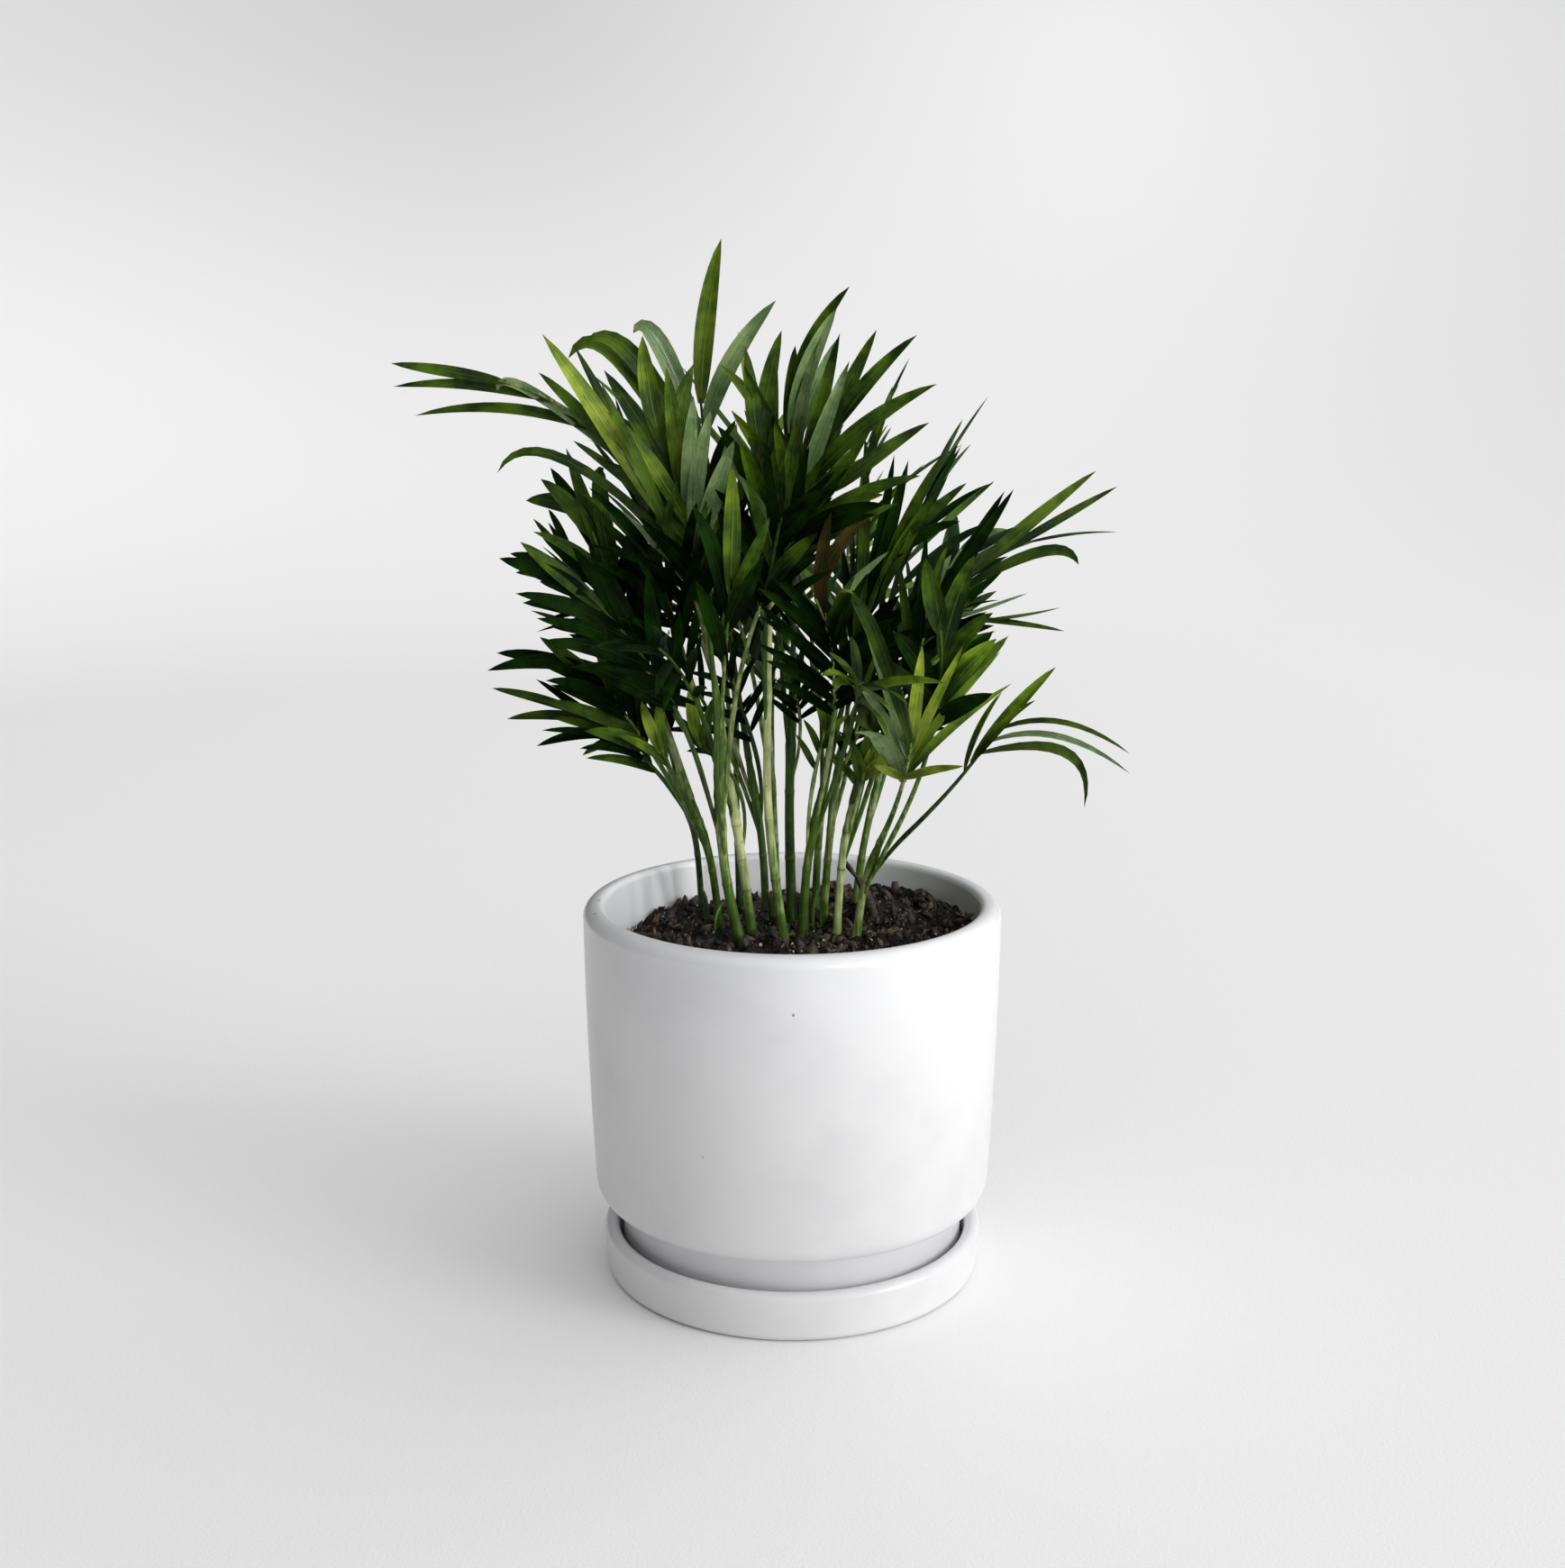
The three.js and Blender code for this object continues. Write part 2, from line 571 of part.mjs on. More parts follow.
// One leaflet: a lance-shaped blade over a bowed centre line, with a keel under it.
function leafShape(centre, up, width, swell) {
  const thick = LEAF.thick * centre.getLength() + swell;
  const half = width / 2 + swell;
  const ringAt = ([share, fullness]) => {
    const spot = centre.getPointAt(share);
    const along = centre.getTangentAt(share);
    const side = new THREE.Vector3().crossVectors(up, along).normalize();
    const top = new THREE.Vector3().crossVectors(along, side).normalize();
    return [
      spot.clone().addScaledVector(side, half * fullness).addScaledVector(top, thick * 0.5),
      spot.clone().addScaledVector(side, -half * fullness).addScaledVector(top, thick * 0.5),
      spot.clone().addScaledVector(top, -thick * 0.6),
    ];
  };
  return skin([[centre.getPoint(0)], ringAt(LEAF.shoulder), ringAt(LEAF.taper), [centre.getPoint(1)]]);
}

// The middle of the rib at a share of its length, on the straight stretches it is made of.
function ribMiddle(curve, share) {
  const step = Math.min(Math.floor(share * RIB_STEPS), RIB_STEPS - 1);
  const from = curve.getPointAt(step / RIB_STEPS);
  const to = curve.getPointAt((step + 1) / RIB_STEPS);
  return from.lerp(to, share * RIB_STEPS - step);
}

// The blade's own directions at a place on the rib.
function bladeFrame(curve, share, face) {
  const along = curve.getTangentAt(share);
  const side = new THREE.Vector3().crossVectors(face, along).normalize();
  const up = new THREE.Vector3().crossVectors(along, side).normalize();
  return { root: ribMiddle(curve, share), along, side, up };
}

// The leaflets that crown the rib, each to a tip of its own.
function crownLeaves(frond, curve, face) {
  const gap = frond.gap ?? LEAF.gap;
  return (frond.crown ?? []).map(([x, y, z, bow = LEAF.bow], k) => {
    const { root, along, up } = bladeFrame(curve, 0.985 - gap * k, face);
    const tip = new THREE.Vector3(x, y, z);
    const heading = tip.clone().sub(root).normalize().add(along).normalize();
    return { root, tip, heading, bow, along, up };
  });
}

// The leaflets below those, left and right in turn, by the seeded rule.
function pairedLeaves(frond, curve, face, random) {
  const { pairs, bare, leaf, open, crown = [], gap = LEAF.gap } = frond;
  const end = 0.985 - gap * crown.length;
  const leaves = [];
  for (let k = 0; k < 2 * pairs; k += 1) {
    const step = k / (2 * pairs - 1);
    const hand = k % 2 === 0 ? 1 : -1;
    const { root, along, side, up } = bladeFrame(curve, between(bare, end, step), face);
    const angle = degrees(between(open[0], open[1], step) + 10 * (random() - 0.5));
    const lift = between(LEAF.lift[0], LEAF.lift[1], random());
    const fullness = 0.78 + 0.3 * Math.sin(Math.PI * between(0.15, 0.8, step));
    const length = leaf * fullness * between(0.88, 1.1, random());
    const heading = along.clone().multiplyScalar(Math.cos(angle))
      .addScaledVector(side, hand * Math.sin(angle))
      .addScaledVector(up, lift).normalize();
    const droop = length * LEAF.droop * between(0.5, 1.5, random());
    const outward = new THREE.Vector3(heading.x, heading.y, 0).normalize();
    const tip = root.clone().addScaledVector(heading, length).addScaledVector(outward, 0.5 * droop);
    tip.z -= droop;
    leaves.push({ root, tip, heading, bow: LEAF.bow, along, up });
  }
  return leaves;
}

// A leaflet that would touch another piece is turned about the rib in steps, then made shorter, and
// left out where nothing frees it.
function placeLeaf(leaf, width, others) {
  for (const size of [1, 0.8]) {
    for (const turn of [0, 0.2, -0.2, 0.4, -0.4, 0.65, -0.65, 0.9, -0.9]) {
      const reach = leaf.tip.clone().sub(leaf.root).applyAxisAngle(leaf.along, turn).multiplyScalar(size);
      const heading = leaf.heading.clone().applyAxisAngle(leaf.along, turn);
      const up = leaf.up.clone().applyAxisAngle(leaf.along, turn);
      const knee = leaf.root.clone().addScaledVector(heading, reach.length() * leaf.bow);
      const centre = new THREE.QuadraticBezierCurve3(leaf.root, knee, leaf.root.clone().add(reach));
      if (!touches(body(leafShape(centre, up, width, CLEAR)), others)) {
        return body(leafShape(centre, up, width, 0));
      }
    }
  }
  return null;
}

// ---------------------------------------------------------------- the whole plant

const plant = new THREE.Group();
plant.add(named('saucer', saucerShape(), GLAZE));
plant.add(named('pot', potShape(), GLAZE));

const settled = [body(potShape())];
let soil = solidOf(soilShape());
for (const [name, cane] of Object.entries(CANES)) {
  soil = soil.subtract(solidOf(socketShape(cane)));
  settled.push(body(caneShape(cane)));
  plant.add(named(name, caneShape(cane), CANE_GREEN));
}
plant.add(named('soil', geometryOf(soil), PEAT));

const ribs = {};
const carried = {};
for (const [name, frond] of Object.entries(FRONDS)) {
  const order = carried[frond.cane] ?? 0;
  carried[frond.cane] = order + 1;
  const curve = ribCurve(frond, order);
  ribs[name] = { curve, body: body(ribShape(curve, 0)) };
}

const leaves = [];
Object.entries(FRONDS).forEach(([name, frond], index) => {
  const { curve, body: rib } = ribs[name];
  const face = vec(frond.face).normalize();
  const random = stream(SEED + index);
  const otherRibs = Object.keys(ribs).filter((other) => other !== name).map((other) => ribs[other].body);
  const others = [...settled, ...otherRibs, ...leaves];
  const lines = [...crownLeaves(frond, curve, face), ...pairedLeaves(frond, curve, face, random)];
  const placed = lines.map((line) => placeLeaf(line, frond.wide ?? LEAF.wide, others)).filter(Boolean);
  const blade = placed.reduce((whole, leaf) => whole.add(leaf.solid), rib.solid);
  leaves.push(...placed);
  plant.add(named(`frond_${name}`, geometryOf(blade), LEAF_GREEN));
});

export default plant;
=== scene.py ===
"""A parlour palm in a white glazed pot with its saucer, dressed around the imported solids.

Shapes are worked out in millimetres, in the frame of the solids, and scaled to metres when a piece
is settled. The crown grows by the same rule as the solids' fronds, with finer leaflets.
"""

from __future__ import annotations

import json
import logging
import math
from bisect import bisect_right
from dataclasses import dataclass, field, replace
from enum import Enum
from itertools import pairwise
from typing import Any, Callable, Iterable, Sequence

import bmesh
import bpy
from mathutils import Matrix, Quaternion, Vector, noise
from mathutils.bvhtree import BVHTree

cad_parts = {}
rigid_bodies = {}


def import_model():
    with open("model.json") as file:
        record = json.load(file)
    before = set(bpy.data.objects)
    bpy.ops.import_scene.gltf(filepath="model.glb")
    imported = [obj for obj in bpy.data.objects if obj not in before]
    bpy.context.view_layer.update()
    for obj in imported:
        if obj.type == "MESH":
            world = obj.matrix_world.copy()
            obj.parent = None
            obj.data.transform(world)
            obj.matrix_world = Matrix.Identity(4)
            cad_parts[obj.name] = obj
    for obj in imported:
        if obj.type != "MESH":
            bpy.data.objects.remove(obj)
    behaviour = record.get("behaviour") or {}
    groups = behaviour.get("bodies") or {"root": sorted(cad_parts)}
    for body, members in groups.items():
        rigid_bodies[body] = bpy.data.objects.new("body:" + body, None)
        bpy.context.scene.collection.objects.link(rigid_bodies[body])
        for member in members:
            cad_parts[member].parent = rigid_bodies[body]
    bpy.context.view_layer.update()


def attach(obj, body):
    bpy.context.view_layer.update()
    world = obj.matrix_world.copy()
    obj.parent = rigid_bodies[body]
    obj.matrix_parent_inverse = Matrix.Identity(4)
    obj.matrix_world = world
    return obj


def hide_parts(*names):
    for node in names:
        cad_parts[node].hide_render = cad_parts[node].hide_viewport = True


MM = 0.001
BODY = "root"
UV_NAME = "blade"
SKIN = ("pale", "scar")
WELD = 1e-4
TINY = 1e-9
UP = (0, 0, 1)

Triple = tuple[float, float, float]
Colour = tuple[float, float, float]

log = logging.getLogger("palm")


# ---------------------------------------------------------------- shader maths


class Value:
    """A number, colour or vector in a material, on which Python's operators work."""

    def __init__(self, graph: "Graph", socket: bpy.types.NodeSocket) -> None:
        """Keep the graph and the socket that gives the value."""
        self.graph = graph
        self.socket = socket

    def __add__(self, other: Any) -> "Value":
        """Sum of two numbers."""
        return self.graph.math("ADD", self, other)

    def __radd__(self, other: Any) -> "Value":
        """Sum, with the value on the right."""
        return self.graph.math("ADD", other, self)

    def __sub__(self, other: Any) -> "Value":
        """Difference of two numbers."""
        return self.graph.math("SUBTRACT", self, other)

    def __rsub__(self, other: Any) -> "Value":
        """Difference, with the value on the right."""
        return self.graph.math("SUBTRACT", other, self)

    def __mul__(self, other: Any) -> "Value":
        """Product of two numbers."""
        return self.graph.math("MULTIPLY", self, other)

    def __rmul__(self, other: Any) -> "Value":
        """Product, with the value on the right."""
        return self.graph.math("MULTIPLY", other, self)

    def __pow__(self, other: Any) -> "Value":
        """One number to the power of another."""
        return self.graph.math("POWER", self, other)

    def magnitude(self) -> "Value":
        """The number without its sign."""
        return self.graph.math("ABSOLUTE", self)

    def band(self, low: float, high: float) -> "Value":
        """Rise smoothly from 0 at low to 1 at high.

        Args:
            low: number that gives 0.
            high: number that gives 1; it may be under low, for a fall.

        Returns:
            The share between the two.
        """
        made = self.graph.node(
            "ShaderNodeMapRange",
            {"interpolation_type": "SMOOTHSTEP", "clamp": True},
            {"Value": self, "From Min": low, "From Max": high},
        )
        return Value(self.graph, made.outputs["Result"])


class Graph:
    """A material's nodes, with one principled surface at their end."""

    def __init__(self, name: str) -> None:
        """Start a material with an empty surface.

        Args:
            name: the material's name.
        """
        self.material = bpy.data.materials.new(name)
        self.material.use_nodes = True
        self.tree = self.material.node_tree
        self.tree.nodes.clear()
        output = self.tree.nodes.new("ShaderNodeOutputMaterial")
        self.surface = self.tree.nodes.new("ShaderNodeBsdfPrincipled")
        self.tree.links.new(self.surface.outputs[0], output.inputs["Surface"])

    def node(self, kind: str, settings: dict[str, Any], inputs: dict[Any, Any]) -> bpy.types.Node:
        """Add any node.

        Args:
            kind: the node's type.
            settings: its own settings, set before its sockets.
            inputs: values or links of its sockets, by name or place.

        Returns:
            The node.
        """
        made = self.tree.nodes.new(kind)
        for name, value in settings.items():
            if name == "stops":
                self._set_stops(made.color_ramp, value)
            else:
                setattr(made, name, value)
        for key, value in inputs.items():
            self.put(made.inputs[key], value)
        return made

    @staticmethod
    def _set_stops(ramp: bpy.types.ColorRamp, stops: Sequence[tuple[float, Colour]]) -> None:
        """Give a ramp its stops.

        Args:
            ramp: the ramp.
            stops: pairs of place and colour.
        """
        while len(ramp.elements) < len(stops):
            ramp.elements.new(1.0)
        for element, (place, colour) in zip(ramp.elements, stops):
            element.position = place
            element.color = (*colour, 1.0)

    def put(self, socket: bpy.types.NodeSocket, value: Any) -> None:
        """Set or link one socket.

        Args:
            socket: the socket that takes the value.
            value: a Value to link, or a plain number, colour or vector.
        """
        if isinstance(value, Value):
            self.tree.links.new(value.socket, socket)
        elif isinstance(value, tuple) and socket.type == "RGBA" and len(value) == 3:
            socket.default_value = (*value, 1.0)
        else:
            socket.default_value = value

    def math(self, operation: str, *values: Any) -> Value:
        """Work on numbers with one Math node."""
        made = self.node("ShaderNodeMath", {"operation": operation}, dict(enumerate(values)))
        return Value(self, made.outputs[0])

    def mix(self, share: Any, first: Any, second: Any) -> Value:
        """Blend two colours, from the first at share 0 to the second at share 1."""
        made = self.node("ShaderNodeMix", {"data_type": "RGBA"}, {0: share, 6: first, 7: second})
        return Value(self, made.outputs[2])

    def place(self) -> Value:
        """The spot on the piece, in metres."""
        return Value(self, self.node("ShaderNodeTexCoord", {}, {}).outputs["Object"])

    def parts(self, vector: Value) -> list[Value]:
        """The three parts of a vector, each a number."""
        split = self.node("ShaderNodeSeparateXYZ", {}, {0: vector})
        return [Value(self, split.outputs[k]) for k in range(3)]

    def attribute(self, name: str) -> Value:
        """A number that the mesh carries."""
        made = self.node("ShaderNodeAttribute", {"attribute_name": name}, {})
        return Value(self, made.outputs["Fac"])

    def stretch(self, vector: Value, scale: Triple) -> Value:
        """A vector with each part scaled on its own."""
        made = self.node("ShaderNodeMapping", {"vector_type": "POINT"}, {"Vector": vector, "Scale": scale})
        return Value(self, made.outputs[0])

    def cloud(self, vector: Value, scale: float, detail: float = 2.0, rough: float = 0.5) -> Value:
        """Soft noise from 0 to 1.

        Args:
            vector: where it is read.
            scale: how many lumps to a unit.
            detail: how many finer layers.
            rough: how strong those are.

        Returns:
            The noise.
        """
        inputs = {"Vector": vector, "Scale": scale, "Detail": detail, "Roughness": rough}
        made = self.node("ShaderNodeTexNoise", {}, inputs)
        return Value(self, made.outputs["Fac"])

    def cells(self, vector: Value, scale: float) -> tuple[Value, Value]:
        """Points scattered at random.

        Args:
            vector: where they are read.
            scale: how many to a unit.

        Returns:
            The distance to the nearest point, and that point's own number from 0 to 1.
        """
        made = self.node("ShaderNodeTexVoronoi", {}, {"Vector": vector, "Scale": scale})
        split = self.node("ShaderNodeSeparateColor", {}, {0: Value(self, made.outputs["Color"])})
        return Value(self, made.outputs["Distance"]), Value(self, split.outputs[0])

    def ramp(self, share: Value, stops: Sequence[tuple[float, Colour]]) -> Value:
        """A colour from a row of stops."""
        made = self.node("ShaderNodeValToRGB", {"stops": stops}, {0: share})
        return Value(self, made.outputs[0])

    def relief(self, height: Value, depth: float) -> Value:
        """A normal from a height of 0 to 1 and the relief's depth in metres."""
        inputs = {"Height": height, "Distance": depth, "Strength": 1.0}
        return Value(self, self.node("ShaderNodeBump", {}, inputs).outputs[0])

    def finish(self, **sockets: Any) -> bpy.types.Material:
        """Set the surface's sockets and give the material.

        Args:
            **sockets: values or links, by the socket's name with underscores for its spaces.

        Returns:
            The material.
        """
        for name, value in sockets.items():
            self.put(self.surface.inputs[name.replace("_", " ")], value)
        return self.material


# ---------------------------------------------------------------- finishes


@dataclass(frozen=True)
class Glaze:
    """White satin glaze with faint clouds and a few pinholes, with painted light in two places.

    The shares in lightened are of a lighter white, painted light, on the lit far side of the mouth and on
    the foot in the shoulder's shade. Bounds and reliefs are in metres, and scales in lumps to a metre, as
    in every finish.
    """

    name: str
    # shares of the painted light: inside the mouth, and on the foot
    lightened: tuple[float, float]
    white: Colour = (0.735, 0.735, 0.745)
    cloud: Colour = (0.665, 0.665, 0.68)
    # the lighter white of the painted light
    lit_white: Colour = (0.93, 0.935, 0.95)
    pinhole: Colour = (0.16, 0.15, 0.13)
    inside: tuple[float, float] = (0.0748, 0.0722)
    mouth: tuple[float, float] = (0.120, 0.130)
    foot: tuple[float, float] = (0.0325, 0.0300)
    far_side: tuple[float, float] = (0.0, 0.065)
    away: tuple[float, float] = (0.45, 0.9)
    cloudy: tuple[float, float] = (0.42, 0.72)
    hole_size: tuple[float, float] = (0.075, 0.045)
    hole_chance: tuple[float, float] = (0.955, 0.965)
    cloud_scale: float = 14.0
    hole_scale: float = 95.0
    swell_scale: float = 22.0
    peel_scale: float = 420.0
    sheen_scale: float = 60.0
    relief: float = 0.0009

    def build(self) -> bpy.types.Material:
        """Make the material.

        Returns:
            The material.
        """
        graph = Graph(self.name)
        place = graph.place()
        x, y, z = graph.parts(place)
        from_axis = (x * x + y * y) ** 0.5
        # painted light: a lighter white high inside the mouth on the far side, which faces the lamps, and on
        # the foot in the shoulder's shade
        inner = from_axis.band(*self.inside) * z.band(*self.mouth) * self.lightened[0]
        inner = inner * (y * self.away[1] - x * self.away[0]).band(*self.far_side)
        painted_light = inner + z.band(*self.foot) * self.lightened[1]
        clouds = graph.cloud(place, self.cloud_scale, 4.0, 0.6).band(*self.cloudy)
        colour = graph.mix(clouds, self.white, self.cloud)
        colour = graph.mix(painted_light, colour, self.lit_white)
        distance, chance = graph.cells(place, self.hole_scale)
        holes = distance.band(*self.hole_size) * chance.band(*self.hole_chance)
        colour = graph.mix(holes * 0.8, colour, self.pinhole)
        swell = graph.cloud(place, self.swell_scale, 2.0)
        peel = graph.cloud(place, self.peel_scale, 1.0)
        height = swell * 0.85 + peel * 0.04 - holes * 0.25
        return graph.finish(
            Base_Color=colour,
            Roughness=0.26 + 0.12 * graph.cloud(place, self.sheen_scale, 3.0),
            Coat_Weight=0.15,
            Coat_Roughness=0.12,
            Normal=graph.relief(height, self.relief),
        )


@dataclass(frozen=True)
class Peat:
    """Dark damp potting soil."""

    dark: Colour = (0.0012, 0.0009, 0.0007)
    brown: Colour = (0.026, 0.016, 0.0095)
    crumb_scale: float = 520.0
    cell_scale: float = 620.0
    relief: float = 0.0016

    def build(self) -> bpy.types.Material:
        """Make the material.

        Returns:
            The material.
        """
        graph = Graph("damp_peat")
        place = graph.place()
        crumbs = graph.cloud(place, self.crumb_scale, 5.0, 0.65)
        distance, chance = graph.cells(place, self.cell_scale)
        colour = graph.ramp(crumbs * 0.7 + chance * 0.35, [(0.3, self.dark), (0.85, self.brown)])
        return graph.finish(
            Base_Color=colour,
            Roughness=0.62 + 0.3 * crumbs,
            Specular_IOR_Level=0.3,
            Normal=graph.relief(crumbs - distance * 0.8, self.relief),
        )


@dataclass(frozen=True)
class Crumb:
    """Loose bits on the soil: bark, wood or pale grit."""

    name: str
    dark: Colour
    light: Colour
    squeeze: Triple = (1.0, 1.0, 3.0)
    lit: tuple[float, float] = (0.48, 0.85)
    grain_scale: float = 300.0
    shade_scale: float = 140.0
    relief: float = 0.0006

    def build(self) -> bpy.types.Material:
        """Make the material.

        Returns:
            The material.
        """
        graph = Graph(self.name)
        place = graph.place()
        grain = graph.cloud(graph.stretch(place, self.squeeze), self.grain_scale, 3.0)
        shade = graph.cloud(place, self.shade_scale, 1.0)
        return graph.finish(
            Base_Color=graph.mix((grain * 0.5 + shade * 0.7).band(*self.lit), self.dark, self.light),
            Roughness=0.5 + 0.35 * grain,
            Normal=graph.relief(grain, self.relief),
        )


@dataclass(frozen=True)
class Stem:
    """Green cane and stalk skin. The mesh says how pale it is and where its scars are."""

    dark: Colour = (0.006, 0.018, 0.002)
    green: Colour = (0.062, 0.125, 0.011)
    pale: Colour = (0.58, 0.62, 0.29)
    scar: Colour = (0.11, 0.085, 0.03)
    draw_out: Triple = (1.0, 1.0, 0.06)
    speck_size: tuple[float, float] = (0.3, 0.18)
    speck_chance: tuple[float, float] = (0.86, 0.9)
    scarred: tuple[float, float] = (0.25, 0.95)
    streak_scale: float = 900.0
    blotch_scale: float = 150.0
    speck_scale: float = 420.0
    relief: float = 0.00025

    def build(self) -> bpy.types.Material:
        """Make the material.

        Returns:
            The material.
        """
        graph = Graph("stem_skin")
        place = graph.place()
        streaks = graph.cloud(graph.stretch(place, self.draw_out), self.streak_scale, 2.0)
        blotches = graph.cloud(place, self.blotch_scale, 3.0)
        paleness = graph.attribute("pale") + (streaks - 0.5) * 0.6 + (blotches - 0.5) * 0.7
        colour = graph.ramp(paleness, [(0.0, self.dark), (0.5, self.green), (1.0, self.pale)])
        distance, chance = graph.cells(place, self.speck_scale)
        specks = distance.band(*self.speck_size) * chance.band(*self.speck_chance)
        scars = graph.attribute("scar")
        colour = graph.mix(specks * 0.5, colour, self.scar)
        colour = graph.mix(scars.band(*self.scarred) * 0.75, colour, self.scar)
        return graph.finish(
            Base_Color=colour,
            Roughness=0.34 + 0.2 * blotches,
            Specular_IOR_Level=0.25,
            Normal=graph.relief(streaks + scars * 0.6, self.relief),
        )


@dataclass(frozen=True)
class Leaf:
    """A leaflet's skin, with veins that run along it.

    The numbers brown and depth say how much dry brown it has, and how far painted shade darkens it towards
    its foot.
    """

    name: str
    shade: Colour
    light: Colour
    vein: Colour
    rough: float
    gloss: float
    brown: float = 0.0
    # how far the painted shade darkens the leaflet towards its foot
    depth: float = 0.8
    dry: Colour = (0.075, 0.045, 0.016)
    # the share of the shade colour that the painted shade at the foot comes down to
    foot: float = 0.3
    patch_scale: float = 75.0
    patched: tuple[float, float] = (0.48, 0.78)
    browned: tuple[float, float] = (0.72, 0.8)
    fibres: Triple = (34.0, 1.2, 1.0)
    midrib: tuple[float, float] = (0.045, 0.012)
    side_rib: tuple[float, float] = (0.022, 0.006)
    side_rib_at: float = 0.27
    foot_shade: tuple[float, float] = (0.8, 0.0)
    foot_vein: tuple[float, float] = (0.12, 0.0)
    dry_tip: tuple[float, float] = (0.95, 1.0)
    lines: int = 13
    relief: float = 0.00022

    def build(self) -> bpy.types.Material:
        """Make the material.

        Returns:
            The material.
        """
        graph = Graph(self.name)
        seam = Value(graph, graph.node("ShaderNodeUVMap", {"uv_map": UV_NAME}, {}).outputs[0])
        across, along, _ = graph.parts(seam)
        patches = graph.cloud(graph.place(), self.patch_scale, 3.0, 0.6)
        fibres = graph.cloud(graph.stretch(seam, self.fibres), 1.0, 3.0, 0.6)
        # painted shade: darker towards the leaflet's foot, where the crown shades it
        foot_shade_colour = tuple(self.foot * part for part in self.shade)
        colour = graph.mix((patches * 0.9 + fibres * 0.35).band(*self.patched), self.shade, self.light)
        colour = graph.mix(along.band(*self.foot_shade) * self.depth, colour, foot_shade_colour)
        off_middle = (across - 0.5).magnitude()
        midrib = off_middle.band(*self.midrib)
        ribs = (off_middle - self.side_rib_at).magnitude().band(*self.side_rib)
        colour = graph.mix(midrib * 0.55 + ribs * 0.25, colour, self.vein)
        colour = graph.mix(along.band(*self.foot_vein) * 0.4, colour, self.vein)
        dry = (along + (fibres - 0.5) * 0.12).band(*self.dry_tip) + patches.band(*self.browned) * self.brown
        colour = graph.mix(dry * 0.8, colour, self.dry)
        lines = graph.math("SINE", across * (math.tau * self.lines))
        height = lines * 0.3 - midrib * 0.9 - ribs * 0.4 + fibres * 0.5
        return graph.finish(
            Base_Color=colour,
            Roughness=self.rough + 0.3 * (patches - 0.4),
            Specular_IOR_Level=self.gloss,
            Normal=graph.relief(height, self.relief),
        )


@dataclass(frozen=True)
class Paper:
    """The pale floor and backdrop, with painted light: lighter to the right, and where it rises, darker on
    the left and glowing on the right.
    """

    left: Colour = (0.845, 0.845, 0.85)
    right: Colour = (0.93, 0.93, 0.932)
    spread: float = 0.9
    rise: float = 1.2
    # painted shade where the backdrop rises on the left, and a painted glow where it rises on the right
    painted_shade: float = 0.25
    painted_glow: float = 0.15
    grain_scale: float = 900.0
    wash_scale: float = 1.3
    relief: float = 0.0001

    def build(self) -> bpy.types.Material:
        """Make the material.

        Returns:
            The material.
        """
        graph = Graph("pale_paper")
        place = graph.place()
        across, _, height = graph.parts(place)
        grain = graph.cloud(place, self.grain_scale, 2.0)
        wash = graph.cloud(place, self.wash_scale, 2.0)
        # painted light: lighter towards the right, where the light comes from
        side = across.band(-self.spread, self.spread)
        risen = height.band(0.0, self.rise)
        colour = graph.mix(side + (grain * 0.1 + wash * 0.16 - 0.13), self.left, self.right)
        # painted shade on the rising left, and a painted glow on the rising right
        painted_shade_colour = tuple((1 - self.painted_shade) * part for part in self.left)
        return graph.finish(
            Base_Color=graph.mix(risen * (1.0 - side), colour, painted_shade_colour),
            Emission_Color=graph.mix(risen * side, (0.0, 0.0, 0.0), (1.0, 1.0, 1.0)),
            Emission_Strength=self.painted_glow,
            Roughness=0.9,
            Normal=graph.relief(grain, self.relief),
        )


class Tone(Enum):
    """Lit and shaded copies of the leaflet's finish, from painted shade in the crown's heart to painted light
    and sheen.
    """

    # painted shade: near-black green for leaflets in the crown's shade
    DEEP = Leaf("leaf_deep", (0.0008, 0.0055, 0.0002), (0.009, 0.040, 0.0006), (0.014, 0.046, 0.001),
                rough=0.42, gloss=0.07)
    GREEN = Leaf("leaf_green", (0.007, 0.036, 0.0005), (0.105, 0.200, 0.005), (0.110, 0.180, 0.010),
                 rough=0.33, gloss=0.25)
    # painted light: a lighter copy of the green for lit leaflets
    FRESH = Leaf("leaf_fresh", (0.035, 0.095, 0.001), (0.235, 0.365, 0.014), (0.25, 0.34, 0.026),
                 rough=0.34, gloss=0.3)
    # painted light: a pale yellow-green for leaflets that the light shines through
    YOUNG = Leaf("leaf_young", (0.110, 0.200, 0.005), (0.430, 0.540, 0.045), (0.45, 0.53, 0.08),
                 rough=0.36, gloss=0.3, depth=0.7)
    # painted sheen: a pale grey-green base colour for leaflets that are also given more gloss
    GREY = Leaf("leaf_grey", (0.115, 0.225, 0.062), (0.345, 0.490, 0.190), (0.27, 0.36, 0.16),
                rough=0.24, gloss=0.7, depth=0.6)
    RUST = Leaf("leaf_rust", (0.016, 0.019, 0.001), (0.085, 0.050, 0.007), (0.08, 0.06, 0.01),
                rough=0.45, gloss=0.2, brown=0.5)


